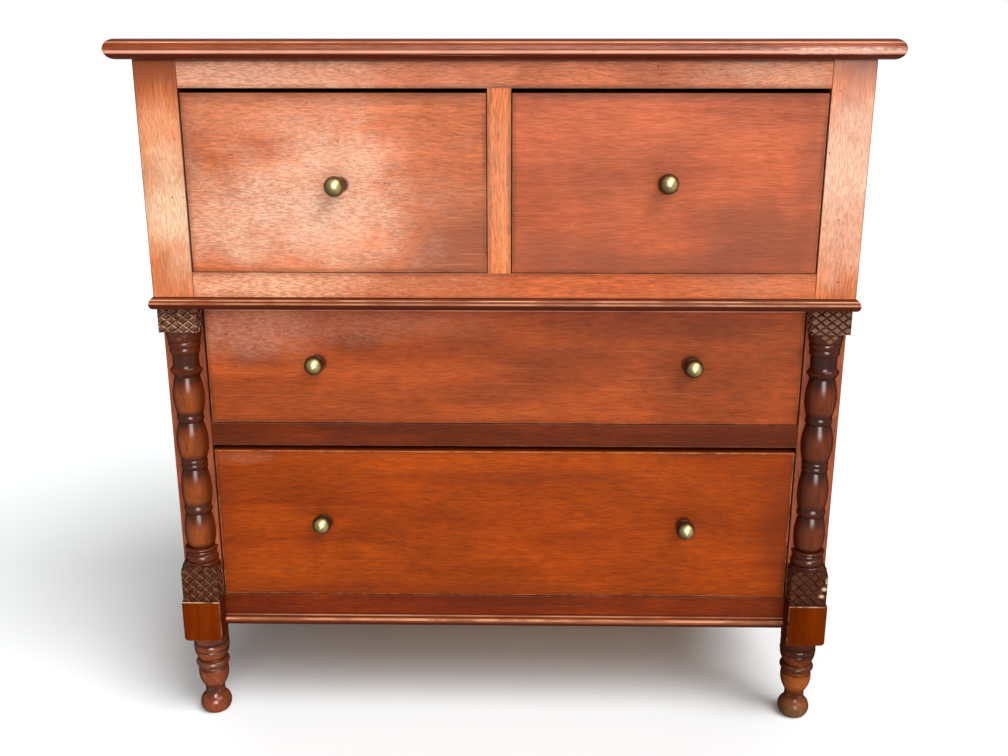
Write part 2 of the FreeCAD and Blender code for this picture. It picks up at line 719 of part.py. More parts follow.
def drawer_stops(left_edge, right_edge, run):
    """Two small blocks on the rear rail that the ends of a drawer's sides come up against."""
    x0 = left_edge + DRAWER_SIDE_GAP
    x1 = right_edge - DRAWER_SIDE_GAP
    y0 = Y_DRAWER_END + STOP_CLEARANCE
    left = box(x0, x0 + STOP_WIDTH, y0, Y_BACK_BOARDS, run, run + STOP_HEIGHT)
    right = box(x1 - STOP_WIDTH, x1, y0, Y_BACK_BOARDS, run, run + STOP_HEIGHT)
    return [left, right]


def drawer_table():
    """Each drawer's name, left and right edge, front plane, run, top and knob places."""
    upper_top = Z_TOP_RAIL - UPPER_HEAD_GAP
    middle_top = Z_WAIST - MIDDLE_HEAD_GAP
    lower_top = Z_BLADE - LOWER_HEAD_GAP
    upper_mid = (Z_UPPER_RUN + upper_top) / 2
    middle_mid = (Z_MIDDLE_RUN + middle_top) / 2
    lower_mid = (Z_LOWER_RUN + lower_top) / 2
    left_mid = (MUNTIN_LEFT - HALF_OPENING) / 2
    right_mid = (MUNTIN_RIGHT + HALF_OPENING) / 2
    reach = HALF_OPENING * WIDE_KNOB_REACH_SHARE
    pair = (-reach, reach)
    middle_knobs = [(x, middle_mid + rise) for x, rise in zip(pair, MIDDLE_KNOB_RISES)]
    lower_knobs = [(x, lower_mid + rise) for x, rise in zip(pair, LOWER_KNOB_RISES)]
    return (
        ("upper_left_drawer", -HALF_OPENING, MUNTIN_LEFT, Y_FRONT, Z_UPPER_RUN, upper_top,
         [(left_mid, upper_mid + UPPER_KNOB_RISES[0])]),
        ("upper_right_drawer", MUNTIN_RIGHT, HALF_OPENING, Y_FRONT, Z_UPPER_RUN, upper_top,
         [(right_mid, upper_mid + UPPER_KNOB_RISES[1])]),
        ("middle_drawer", -HALF_OPENING, HALF_OPENING, Y_LOWER_FRONT, Z_MIDDLE_RUN, middle_top,
         middle_knobs),
        ("lower_drawer", -HALF_OPENING, HALF_OPENING, Y_LOWER_FRONT, Z_LOWER_RUN, lower_top,
         lower_knobs),
    )


def save_pairs():
    """The pieces that stand on both sides of the case."""
    pairs = {
        "front_post": front_post(),
        "rear_post": rear_post(),
        "split_column": split_column(),
        "waist_moulding": waist_mouldings()[1],
    }
    for name in SIDE_RAILS:
        pairs[name] = side_rail(name)
    for name in SIDE_PANELS:
        pairs[name] = side_panel(name)
    for name, shape in pairs.items():
        save("left_" + name, [mirrored(shape)])
        save("right_" + name, [shape])


def save_frame():
    """The rails across the case, the strips that carry the drawers, and the top and back."""
    cross = {name: cross_rail(span) for name, span in FRONT_RAILS.items()}
    cross.update({name: cross_rail(rear_rail_span(name)) for name in REAR_RAILS})
    strip_groups = {
        "upper_runners": upper_runners(),
        "lower_runners": lower_runners(),
        "top_kickers": top_kickers(),
    }
    cutters = [solid for group in strip_groups.values() for solid in group]
    cutters.append(centre_muntin())
    for name, rail in cross.items():
        save(name, [rail.cut(cutters)])
    for name, solids in strip_groups.items():
        save(name, solids)
    save("centre_muntin", [centre_muntin()])
    save("drawer_guides", drawer_guides())
    save("back_boards", back_boards())
    save("top_board", [top_board()])
    save("front_waist_moulding", [waist_mouldings()[0]])
    save("bottom_bead", [bottom_bead()])


def save_drawers():
    stops = []
    for name, left, right, front, run, top, knob_places in drawer_table():
        stops += drawer_stops(left, right, run)
        for ending, solids in drawer(left, right, front, run, top, knob_places).items():
            save(name + "_" + ending, solids)
    save("drawer_stops", stops)


os.makedirs("parts", exist_ok=True)
save_pairs()
save_frame()
save_drawers()
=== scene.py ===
import math

import bpy
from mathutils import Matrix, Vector


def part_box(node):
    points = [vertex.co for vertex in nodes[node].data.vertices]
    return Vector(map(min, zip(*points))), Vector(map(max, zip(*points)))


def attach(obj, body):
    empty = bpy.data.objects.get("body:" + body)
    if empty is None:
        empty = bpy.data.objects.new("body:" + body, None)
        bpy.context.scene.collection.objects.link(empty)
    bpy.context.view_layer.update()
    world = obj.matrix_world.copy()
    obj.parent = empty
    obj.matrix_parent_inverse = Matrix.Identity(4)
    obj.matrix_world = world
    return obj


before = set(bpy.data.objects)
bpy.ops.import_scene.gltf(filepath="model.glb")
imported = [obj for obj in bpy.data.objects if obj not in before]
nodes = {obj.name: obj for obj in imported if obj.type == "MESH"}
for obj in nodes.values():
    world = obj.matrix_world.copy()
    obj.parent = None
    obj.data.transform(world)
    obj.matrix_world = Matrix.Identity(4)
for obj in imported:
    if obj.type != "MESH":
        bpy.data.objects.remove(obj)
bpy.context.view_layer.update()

# Camera, in metres and degrees, with the lens in millimetres
CAMERA_PLACE = (0.0258, -1.803, 1.063)
CAMERA_TILT = 73.21
CAMERA_TURN = 0.89
CAMERA_LENS = 40.0

# Planes and levels of the chest, in metres
UPPER_FRONT = -0.224
LOWER_FRONT = -0.190
TOP_NOSE = -0.2425
POST_AXIS = 0.477
POST_INNER = 0.447
POST_OUTER = 0.507
FRONT_FOOT_AXIS = -0.182
REAR_FOOT_AXIS = 0.216
UNDER_TOP = 1.0355
WAIST = 0.689
KNOB_BALL = 0.0145
BLOCK_FOOT = 0.147
BLOCK_TOP = 0.2145
FOOT_RING = 0.0893
FOOT_GROOVES = ((0.0775, 0.0800), (0.0948, 0.0968), (0.1132, 0.1155), (0.1240, 0.1300))
SHOULDER = 0.2742
COLUMN_HEAD = 0.652
BULBS = ((0.3007, 0.3567), (0.3704, 0.4303), (0.4478, 0.5069), (0.5193, 0.5785))
BLOCK_HALF = 0.0285
CARVED_GROUND = 0.027
CARVED_FACE = LOWER_FRONT - CARVED_GROUND
BACK_BOARD_COUNT = 5
SIDES = (("left", -1), ("right", 1))

# How far one tone of wood runs into the next, in metres
WAIST_STEP = 0.001
BLOCK_STEP = 0.0006
HEAD_STEP = 0.0005
FOOT_STEP = 0.002
# SHELTER softens the painted shade under the top
SHELTER = 0.0017

# Carving: diamonds of a width and a height, and the share of each that stays flat
HEAD_DIAMOND = (0.0160, 0.0123)
FOOT_DIAMOND = (0.0158, 0.0160)
HEAD_FLAT_SHARE = 0.66
FOOT_FLAT_SHARE = 0.72
CARVING_CELLS = 8
CARVING_DEPTH = 0.0014
SLAB = 0.0008
CARVING_LIFT = 0.0001
UPWARD = 0.9

# Rounded shoulder of the carved foot block: radii, and how far each lies below the shoulder
SHOULDER_SIDES = 96
SHOULDER_RADIUS = 0.0408
SHOULDER_EDGE = 0.0155
SHOULDER_SINK = 0.02
SHOULDER_CURVE = ((0.0397, 0.0112), (0.0382, 0.0080), (0.0362, 0.0052), (0.0335, 0.0027),
                  (0.0300, 0.0007), (0.0272, -0.0004))

# Small diamonds on the cup: places as distance across, level and radius of the cup there
CUP_DIAMOND_PLACES = ((-0.0075, 0.6468, 0.0258), (0.0075, 0.6468, 0.0258), (0.0, 0.6412, 0.0250))
CUP_DIAMOND_THICKNESS = 0.0018
CUP_DIAMOND_SHARE = 0.40
CUP_FACE_SHARE = 0.78
CUP_DIAMOND_RIM = 0.0006
CUP_LEAN = 0.12

# Floor and background
FLOOR_SIZE = 3000.0
FLOOR_COLOUR = (0.94, 0.97, 0.98)
FLOOR_ROUGHNESS = 0.9
GLOW_REACH = (0.40, 0.80)
GLOW_STRENGTH = 0.20
SKY_STRENGTH = 0.20
WHITE = (1.0, 1.0, 1.0)

# Shader values
NOISE_LOW = 0.3
NOISE_MIDDLE = 0.5
NOISE_HIGH = 0.7
MIX_FIRST = 6
MIX_SECOND = 7
MIX_RESULT = 2
AXES = {"X": (0, 1, 2), "Y": (1, 2, 0), "Z": (2, 0, 1)}


# Shader helpers

def put(tree, kind, settings=None, **inputs):
    """A shader node with its settings, and its inputs linked to a socket or set to a value."""
    made = tree.nodes.new("ShaderNode" + kind)
    for key, value in (settings or {}).items():
        setattr(made, key, value)
    for key, value in inputs.items():
        wire(tree, value, made.inputs[key.replace("_", " ")])
    return made


def wire(tree, value, socket):
    if isinstance(value, bpy.types.NodeSocket):
        tree.links.new(value, socket)
    else:
        socket.default_value = value


def arithmetic(tree, kind, operation, values):
    made = put(tree, kind, {"operation": operation})
    for value, socket in zip(values, made.inputs):
        wire(tree, value, socket)
    return made.outputs


def calc(tree, operation, *values):
    """One step of arithmetic on sockets or numbers."""
    return arithmetic(tree, "Math", operation, values)[0]


def vector_calc(tree, operation, *values):
    """One step of arithmetic on vectors."""
    return arithmetic(tree, "VectorMath", operation, values)["Value" if operation == "LENGTH" else "Vector"]


def times(tree, first, *others):
    """Values multiplied one after another."""
    for value in others:
        first = calc(tree, "MULTIPLY", first, value)
    return first


def swing(tree, value, size):
    """A noise value as a push of up to half a size either way."""
    return times(tree, calc(tree, "SUBTRACT", value, NOISE_MIDDLE), size)


def apart(tree, value, level):
    """How far a value lies from a level, to either side."""
    return calc(tree, "ABSOLUTE", calc(tree, "SUBTRACT", value, level))


def span(tree, value, low, high, start=0.0, end=1.0):
    """A value eased from its low and high to a start and an end."""
    made = put(tree, "MapRange", {"interpolation_type": "SMOOTHSTEP"},
               Value=value, From_Min=low, From_Max=high, To_Min=start, To_Max=end)
    return made.outputs["Result"]


def above(tree, height, level, soft, end=1.0):
    """Zero below a level and the end above it, with a soft step between."""
    return span(tree, height, level - soft, level + soft, 0.0, end)


def blend(tree, share, first, second, way="MIX"):
    """Two colours mixed by a share."""
    made = put(tree, "Mix", {"data_type": "RGBA", "blend_type": way}, Factor=share)
    wire(tree, first, made.inputs[MIX_FIRST])
    wire(tree, second, made.inputs[MIX_SECOND])
    return made.outputs[MIX_RESULT]


def rgb(colour):
    return (*colour, 1.0)


def laid(tree, colour, tint, *shares):
    """A colour with a tint laid on it, by one share or by several multiplied."""
    return blend(tree, times(tree, *shares), colour, rgb(tint))


def shaded(tree, colour, value, low, high):
    """A colour darkened or lightened by a noise value."""
    return blend(tree, 1.0, colour, span(tree, value, NOISE_LOW, NOISE_HIGH, low, high), "MULTIPLY")


def parted(tree, vector):
    """The three numbers of a vector."""
    return put(tree, "SeparateXYZ", Vector=vector).outputs[:3]


def new_group(name, inputs, outputs):
    """An empty shader node group with named sockets, and its two ends."""
    tree = bpy.data.node_groups.new(name, "ShaderNodeTree")
    for label, kind in inputs.items():
        tree.interface.new_socket(label, in_out="INPUT", socket_type="NodeSocket" + kind)
    for label, kind in outputs.items():
        tree.interface.new_socket(label, in_out="OUTPUT", socket_type="NodeSocket" + kind)
    start = tree.nodes.new("NodeGroupInput").outputs
    end = tree.nodes.new("NodeGroupOutput").inputs
    return tree, start, end


def place_group(tree, group, **inputs):
    return put(tree, "Group", {"node_tree": group}, **inputs).outputs


def noise(tree, vector, scale, detail=3.0, roughness=0.55, distortion=0.0):
    return put(tree, "TexNoise", Vector=vector, Scale=scale, Detail=detail,
               Roughness=roughness, Distortion=distortion).outputs["Fac"]


def scaled(tree, vector, size):
    return vector_calc(tree, "MULTIPLY", vector, size)


def streaks(tree, vector, length, width, detail=3.0, roughness=0.55, distortion=0.0):
    """Noise drawn out in the vector's first direction, given in counts to the metre."""
    return noise(tree, scaled(tree, vector, (length, width, width)), 1.0, detail, roughness, distortion)


# Shared effects

def grain_group():
    """Wood with its grain in the vector's first direction: its colour, and masks for wear."""
    tree, start, end = new_group(
        "wood_grain",
        {"Vector": "Vector", "Pale": "Color", "Deep": "Color", "Spread": "Float", "Fleck": "Float"},
        {"Colour": "Color", "Fibre": "Float", "Cloud": "Float", "Speckle": "Float"})
    drift = swing(tree, streaks(tree, start["Vector"], 3.2, 6.0, detail=2.0, roughness=0.5), 0.035)
    bent = put(tree, "CombineXYZ", Y=drift, Z=drift).outputs[0]
    vector = vector_calc(tree, "ADD", start["Vector"], bent)
    fibre = streaks(tree, vector, 46.0, 600.0, detail=4.0, roughness=0.62)
    speckle = streaks(tree, vector, 95.0, 540.0, detail=3.0, roughness=0.75)
    streak = streaks(tree, vector, 6.0, 130.0, detail=4.0, roughness=0.6, distortion=0.2)
    figure = streaks(tree, vector, 2.2, 22.0, detail=4.0, roughness=0.55, distortion=0.6)
    cloud = streaks(tree, vector, 6.0, 11.0, detail=4.0, roughness=0.6)
    tone = span(tree, figure, calc(tree, "SUBTRACT", NOISE_MIDDLE, start["Spread"]),
                calc(tree, "ADD", NOISE_MIDDLE, start["Spread"]))
    colour = blend(tree, tone, start["Deep"], start["Pale"])
    colour = shaded(tree, colour, cloud, 0.80, 1.12)
    colour = shaded(tree, colour, streak, 0.90, 1.06)
    darkest = calc(tree, "MULTIPLY_ADD", start["Fleck"], -1.6, 1.0)
    lightest = calc(tree, "MULTIPLY_ADD", start["Fleck"], 1.1, 1.0)
    wire(tree, shaded(tree, colour, fibre, darkest, lightest), end["Colour"])
    wire(tree, fibre, end["Fibre"])
    wire(tree, cloud, end["Cloud"])
    wire(tree, span(tree, speckle, 0.40, 0.63, 0.30, 1.0), end["Speckle"])
    return tree


def band_group():
    """A band between two levels, stronger and weaker along its length."""
    tree, start, end = new_group(
        "soft_band", {"Value": "Float", "Mood": "Float", "Low": "Float", "High": "Float", "Soft": "Float",
                      "Least": "Float", "Most": "Float"}, {"Mask": "Float"})
    sides = [calc(tree, step, start[level], start["Soft"])
             for level in ("Low", "High") for step in ("SUBTRACT", "ADD")]
    rise = span(tree, start["Value"], sides[0], sides[1])
    fall = span(tree, start["Value"], sides[2], sides[3], 1.0, 0.0)
    share = span(tree, start["Mood"], 0.36, 0.60, start["Least"], start["Most"])
    wire(tree, times(tree, rise, fall, share), end["Mask"])
    return tree


def edge_group():
    """How near a point lies to an edge of its board, as a rubbed line and a dark border of grime and
    painted shade.
    """
    tree, start, end = new_group(
        "board_edges", {"Vector": "Vector", "Low": "Vector", "High": "Vector"},
        {"Rub": "Float", "GrimeAndShade": "Float"})
    below = vector_calc(tree, "SUBTRACT", start["Vector"], start["Low"])
    over = vector_calc(tree, "SUBTRACT", start["High"], start["Vector"])
    x, y, z = parted(tree, vector_calc(tree, "MINIMUM", below, over))
    both = calc(tree, "MINIMUM", x, y)
    other = calc(tree, "MINIMUM", calc(tree, "MAXIMUM", x, y), z)
    gap = calc(tree, "MAXIMUM", both, other)
    ragged = times(tree, noise(tree, start["Vector"], 60.0, 4.0, 0.6), 0.006)
    wire(tree, span(tree, calc(tree, "ADD", gap, ragged), 0.0052, 0.0028), end["Rub"])
    cloudy = span(tree, noise(tree, start["Vector"], 12.0), 0.35, 0.65, 0.45, 1.0)
    wire(tree, times(tree, span(tree, gap, 0.0085, 0.0005), cloudy), end["GrimeAndShade"])
    return tree


def patch_group():
    """A soft cloud of a given middle and size, with a ragged border."""
    tree, start, end = new_group(
        "soft_patch", {"Vector": "Vector", "Middle": "Vector", "Size": "Vector"}, {"Mask": "Float"})
    away = vector_calc(tree, "SUBTRACT", start["Vector"], start["Middle"])
    reach = vector_calc(tree, "LENGTH", vector_calc(tree, "DIVIDE", away, start["Size"]))
    ragged = swing(tree, noise(tree, start["Vector"], 14.0, 4.0, 0.6), 1.1)
    wire(tree, span(tree, calc(tree, "ADD", reach, ragged), 1.0, 0.15), end["Mask"])
    return tree


def marks_group():
    """Worm holes, fine scratches along the grain and dark specks of old varnish."""
    tree, start, end = new_group(
        "old_marks", {"Vector": "Vector"}, {"Holes": "Float", "Scratches": "Float", "Specks": "Float"})
    cells = put(tree, "TexVoronoi", Vector=start["Vector"], Scale=36.0)
    wire(tree, span(tree, cells.outputs["Distance"], 0.055, 0.035), end["Holes"])
    lines = streaks(tree, start["Vector"], 5.0, 520.0, detail=2.0, roughness=0.5, distortion=0.15)
    wire(tree, span(tree, lines, 0.66, 0.74), end["Scratches"])
    specks = streaks(tree, start["Vector"], 120.0, 260.0, detail=2.0)
    wire(tree, span(tree, specks, 0.68, 0.76), end["Specks"])
    return tree


def turned_group():
    """The radius of a point on turned work, by which its grooves get dirt and painted shade, and a noise of
    dark smudges.
    """
    tree, start, end = new_group(
        "turned_dirt_and_shade", {"Vector": "Vector", "Axis": "Vector"}, {"Radius": "Float", "Smudge": "Float"})
    away = scaled(tree, vector_calc(tree, "SUBTRACT", start["Vector"], start["Axis"]), (1.0, 1.0, 0.0))
    ragged = swing(tree, noise(tree, start["Vector"], 45.0, 4.0, 0.6), 0.004)
    wire(tree, calc(tree, "ADD", vector_calc(tree, "LENGTH", away), ragged), end["Radius"])
    wire(tree, span(tree, noise(tree, start["Vector"], 26.0, 4.0, 0.6), 0.4, 0.68), end["Smudge"])
    return tree


GRAIN = grain_group()
BAND = band_group()
EDGES = edge_group()
PATCH = patch_group()
MARKS = marks_group()
TURNED = turned_group()


# Parts of a material

def along(tree, place, axis, shift):
    """A place with the grain's axis first, moved so that no grain runs on from board to board."""
    parts = parted(tree, put(tree, "Mapping", Vector=place, Location=shift).outputs[0])
    first, second, third = AXES[axis]
    return put(tree, "CombineXYZ", X=parts[first], Y=parts[second], Z=parts[third]).outputs[0]


def shift_of(number, steps):
    """Where the grain of one of many like boards starts."""
    return tuple(step * number for step in steps)


def new_material(name):
    material = bpy.data.materials.new(name)
    material.use_nodes = True
    tree = material.node_tree
    skin = tree.nodes["Principled BSDF"].inputs
    place = put(tree, "TexCoord").outputs["Object"]
    return material, tree, skin, place


def node_material(node):
    """A new material on the mesh of a node."""
    material, tree, skin, place = new_material(node + "_skin")
    mesh = nodes[node].data
    mesh.materials.clear()
    mesh.materials.append(material)
    return tree, skin, place


def patched(tree, place, colour, patches, streak=None, crisp=False):
    """A colour with soft or crisp patches of other colours laid on it, which streaks can break."""
    for middle, size, tint, share in patches:
        mask = place_group(tree, PATCH, Vector=place, Middle=middle, Size=size)["Mask"]
        if crisp:
            mask = span(tree, mask, 0.0, 0.6)
        shares = (mask, share) if streak is None else (mask, share, streak)
        colour = laid(tree, colour, tint, *shares)
    return colour


def spot(front, across, level, wide, high, tint, share, depth=0.1):
    """A patch on a front: its middle, size, tint and share."""
    return (across, front, level), (wide, depth, high), tint, share


def spots(front, rows):
    return [spot(front, *row) for row in rows]


def banded(tree, value, colour, mood, low, high, soft, tint, least, most):
    """A colour with a band of another between two levels."""
    mask = place_group(tree, BAND, Value=value, Mood=mood, Low=low, High=high, Soft=soft,
                       Least=least, Most=most)["Mask"]
    return laid(tree, colour, tint, mask)


def wood(tree, vector, pale, deep, figure=1.0, fleck=0.2):
    """The grain of plain wood, with its colour among it."""
    return place_group(tree, GRAIN, Vector=vector, Pale=rgb(pale), Deep=rgb(deep),
                       Spread=0.2 / figure, Fleck=fleck)


def board_edges(tree, place, node):
    low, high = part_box(node)
    return place_group(tree, EDGES, Vector=place, Low=low, High=high)


def roughened(tree, skin, value, dull, bright):
    """Roughness that a noise value takes from dull to bright."""
    wire(tree, span(tree, value, NOISE_LOW, NOISE_HIGH, dull, bright), skin["Roughness"])


def relief(tree, skin, height, strength, depth):
    bump = put(tree, "Bump", Strength=strength, Distance=depth, Height=height)
    wire(tree, bump.outputs["Normal"], skin["Normal"])


# Faded varnish with painted glare, painted glare alone, then colours of stains, dirt, wear and dark parts
FADED_AND_GLARE = (0.88, 0.46, 0.29)
PAINTED_GLARE = (0.94, 0.60, 0.42)
SMOKE = (0.20, 0.058, 0.032)
GRIME = (0.07, 0.012, 0.004)
RUBBED = (0.74, 0.34, 0.17)
BLACKENED = (0.045, 0.012, 0.005)
CHERRY_SHINE = 0.06


def cherry(node, axis, pale, deep, shift, front=UPPER_FRONT, fades_and_glare=(), stains_and_shade=(), knob_shadow_rows=(), bands=(),
           rub=0.5, edge_grime_and_shade=0.5, marks=0.3, gloss=0.38, rubbed=RUBBED, figure=1.0, fleck=0.2, holes=0.0,
           grained=0.3):
    """Varnished cherry for one board: grain, stains and painted shade, faded varnish and painted glare,
    painted knob shadows, bands of painted shade, painted highlight and wear, worn edges with a border of
    grime and painted shade, and old marks.
    """
    tree, skin, place = node_material(node)
    vector = along(tree, place, axis, shift)
    grain = wood(tree, vector, pale, deep, figure, fleck)
    # Stains, and patches of painted shade
    colour = patched(tree, place, grain["Colour"], spots(front, stains_and_shade))
    # Paler patches of faded varnish and painted glare, broken by speckle
    colour = patched(tree, place, colour, spots(front, fades_and_glare), grain["Speckle"])
    # Painted shadows that the knobs cast on the board
    colour = patched(tree, place, colour, spots(front, knob_shadow_rows), crisp=True)
    height = parted(tree, place)[2]
    for band in bands:
        colour = banded(tree, height, colour, grain["Cloud"], *band)
    edges = board_edges(tree, place, node)
    old = place_group(tree, MARKS, Vector=vector)
    # A dark border along the edges: grime, and painted shade at the gaps
    colour = laid(tree, colour, GRIME, edges["GrimeAndShade"], edge_grime_and_shade)
    colour = laid(tree, colour, rubbed, old["Scratches"], marks)
    colour = laid(tree, colour, GRIME, old["Specks"], marks)
    colour = laid(tree, colour, rubbed, edges["Rub"], rub)
    wormed = times(tree, old["Holes"], holes)
    wire(tree, laid(tree, colour, GRIME, wormed), skin["Base Color"])
    rough = span(tree, grain["Fibre"], 0.35, 0.65, gloss + 0.1, gloss - 0.07)
    wire(tree, calc(tree, "ADD", rough, times(tree, edges["Rub"], 0.15)), skin["Roughness"])
    skin["Specular IOR Level"].default_value = CHERRY_SHINE
    relief(tree, skin, calc(tree, "SUBTRACT", grain["Fibre"], wormed), grained, 0.0006)

# Boards of the front, with patches as rows for spot and bands as rows for banded

def top_board():
    shadow = (0.10, 0.028, 0.014)
    cherry("top_board", "X", (0.33, 0.070, 0.022), (0.23, 0.042, 0.012), (0.3, 1.7, 0.2), TOP_NOSE,
           # A painted shadow line along the top edge
           stains_and_shade=[(0.0, 1.0655, 6.0, 0.004, shadow, 0.85, 0.012)],
           # Painted highlights on the nose, strongest at its right end
           fades_and_glare=[(-0.28, 1.050, 0.45, 0.010, (0.60, 0.24, 0.15), 0.25, 0.06),
                  (0.45, 1.0490, 0.20, 0.0075, (0.95, 0.62, 0.50), 0.95, 0.06)],
           # Painted shade on the nose's underside, painted highlights below its middle and near its top,
           # and a painted shadow line at its top edge
           bands=[(1.0300, 1.0450, 0.0010, (0.080, 0.008, 0.001), 0.94, 0.98),
                  (1.0462, 1.0496, 0.0012, (1.00, 0.47, 0.33), 0.72, 1.0),
                  (1.0594, 1.0611, 0.0007, (0.90, 0.40, 0.25), 0.35, 0.95),
                  (1.0619, 1.0641, 0.0005, shadow, 0.80, 0.95)],
           rub=0.0, edge_grime_and_shade=0.0, marks=0.35, gloss=0.26, grained=0.12)


def upper_rails():
    cherry("top_front_rail", "X", (0.80, 0.205, 0.070), (0.63, 0.140, 0.045), (1.1, 0.4, 2.3),
           # Pale patches of faded varnish and painted glare
           fades_and_glare=[(-0.27, 1.018, 0.38, 0.09, (0.94, 0.39, 0.23), 0.7),
                  (-0.35, 1.018, 0.26, 0.06, (1.00, 0.54, 0.36), 0.9),
                  (0.39, 1.02, 0.17, 0.04, FADED_AND_GLARE, 0.85)],
           stains_and_shade=[(0.05, 1.0, 0.6, 0.006, SMOKE, 0.5)],
           # Painted shade under the overhang of the top
           bands=[(UNDER_TOP, 1.0500, SHELTER, (0.05, 0.010, 0.004), 0.80, 0.95)],
           rub=0.1, marks=0.5, holes=0.9)
    cherry("waist_rail", "X", (0.66, 0.150, 0.042), (0.52, 0.105, 0.028), (2.6, 0.9, 1.3),
           # Pale patches of faded varnish and painted glare
           fades_and_glare=[(-0.25, 0.726, 0.36, 0.08, (0.82, 0.33, 0.17), 0.5),
                  (-0.34, 0.726, 0.22, 0.04, (0.92, 0.53, 0.33), 0.85),
                  (0.37, 0.73, 0.13, 0.04, FADED_AND_GLARE, 0.22)],
           stains_and_shade=[(0.0, 0.706, 0.9, 0.005, SMOKE, 0.6)],
           rub=0.1, marks=0.45, holes=0.5)
    cherry("centre_muntin", "Z", (0.92, 0.250, 0.072), (0.71, 0.168, 0.046), (3.2, 0.2, 0.7),
           # A pale patch of faded varnish and painted glare
           fades_and_glare=[(-0.005, 0.86, 0.05, 0.16, FADED_AND_GLARE, 0.30)],
           rub=0.2, marks=0.35, fleck=0.26)


# Painted knob shadows: size, lift, sideways shift for left and right knobs, and share
KNOB_SHADOW_SIZE = (0.0160, 0.0150)
KNOB_SHADOW_LIFT = 0.001
KNOB_SHADOW_SHIFTS = (0.0050, -0.0030)
KNOB_SHADOW_SHARE = 0.9


def knob_shadows(drawer, tint):
    """Painted shadows that the knobs cast on the board beside each knob."""
    low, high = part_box(drawer + "_drawer_knobs")
    level = (low[2] + high[2]) / 2 + KNOB_SHADOW_LIFT
    places = sorted({round(low[0] + KNOB_BALL, 3), round(high[0] - KNOB_BALL, 3)})
    return [(x + KNOB_SHADOW_SHIFTS[0 if x < 0 else 1], level, *KNOB_SHADOW_SIZE, tint, KNOB_SHADOW_SHARE)
            for x in places]


def upper_drawers():
    # Colour of the painted knob shadows
    dark = (0.12, 0.032, 0.010)
    cherry("upper_left_drawer_front", "X", (0.73, 0.186, 0.060), (0.59, 0.134, 0.041), (4.1, 2.2, 0.9),
           # Painted glare round the knob and to its left, over faded varnish
           fades_and_glare=[(-0.24, 0.86, 0.26, 0.15, (0.84, 0.39, 0.25), 0.45),
                  (-0.36, 0.955, 0.18, 0.06, (0.86, 0.40, 0.25), 0.40),
                  (-0.31, 0.845, 0.22, 0.10, PAINTED_GLARE, 0.72),
                  (-0.235, 0.905, 0.12, 0.06, PAINTED_GLARE, 0.60),
                  (-0.24, 0.825, 0.12, 0.05, PAINTED_GLARE, 0.65),
                  (-0.27, 0.780, 0.19, 0.055, PAINTED_GLARE, 0.55),
                  (-0.25, 0.955, 0.15, 0.05, (0.90, 0.48, 0.32), 0.35),
                  (-0.40, 0.80, 0.10, 0.06, PAINTED_GLARE, 0.55)],
           stains_and_shade=[(-0.05, 0.79, 0.16, 0.11, SMOKE, 0.72),
                   # Darker along the top and the left edge
                   (-0.24, 0.988, 0.4, 0.016, SMOKE, 0.45),
                   (-0.44, 0.92, 0.03, 0.12, SMOKE, 0.45)],
           knob_shadow_rows=knob_shadows("upper_left", dark),
           rub=0.2, marks=0.50, fleck=0.19, grained=0.5)
    cherry("upper_right_drawer_front", "X", (0.60, 0.130, 0.043), (0.51, 0.100, 0.032), (0.8, 3.1, 1.9),
           stains_and_shade=[(0.37, 0.79, 0.16, 0.09, SMOKE, 0.52),
                   (0.09, 0.775, 0.14, 0.06, SMOKE, 0.40),
                   (0.22, 0.76, 0.24, 0.03, SMOKE, 0.38),
                   (0.43, 0.88, 0.04, 0.14, SMOKE, 0.35),
                   (0.12, 0.865, 0.08, 0.04, SMOKE, 0.22),
                   (0.22, 0.99, 0.4, 0.012, SMOKE, 0.35)],
           knob_shadow_rows=knob_shadows("upper_right", dark),
           rub=0.2, marks=0.20, fleck=0.13)


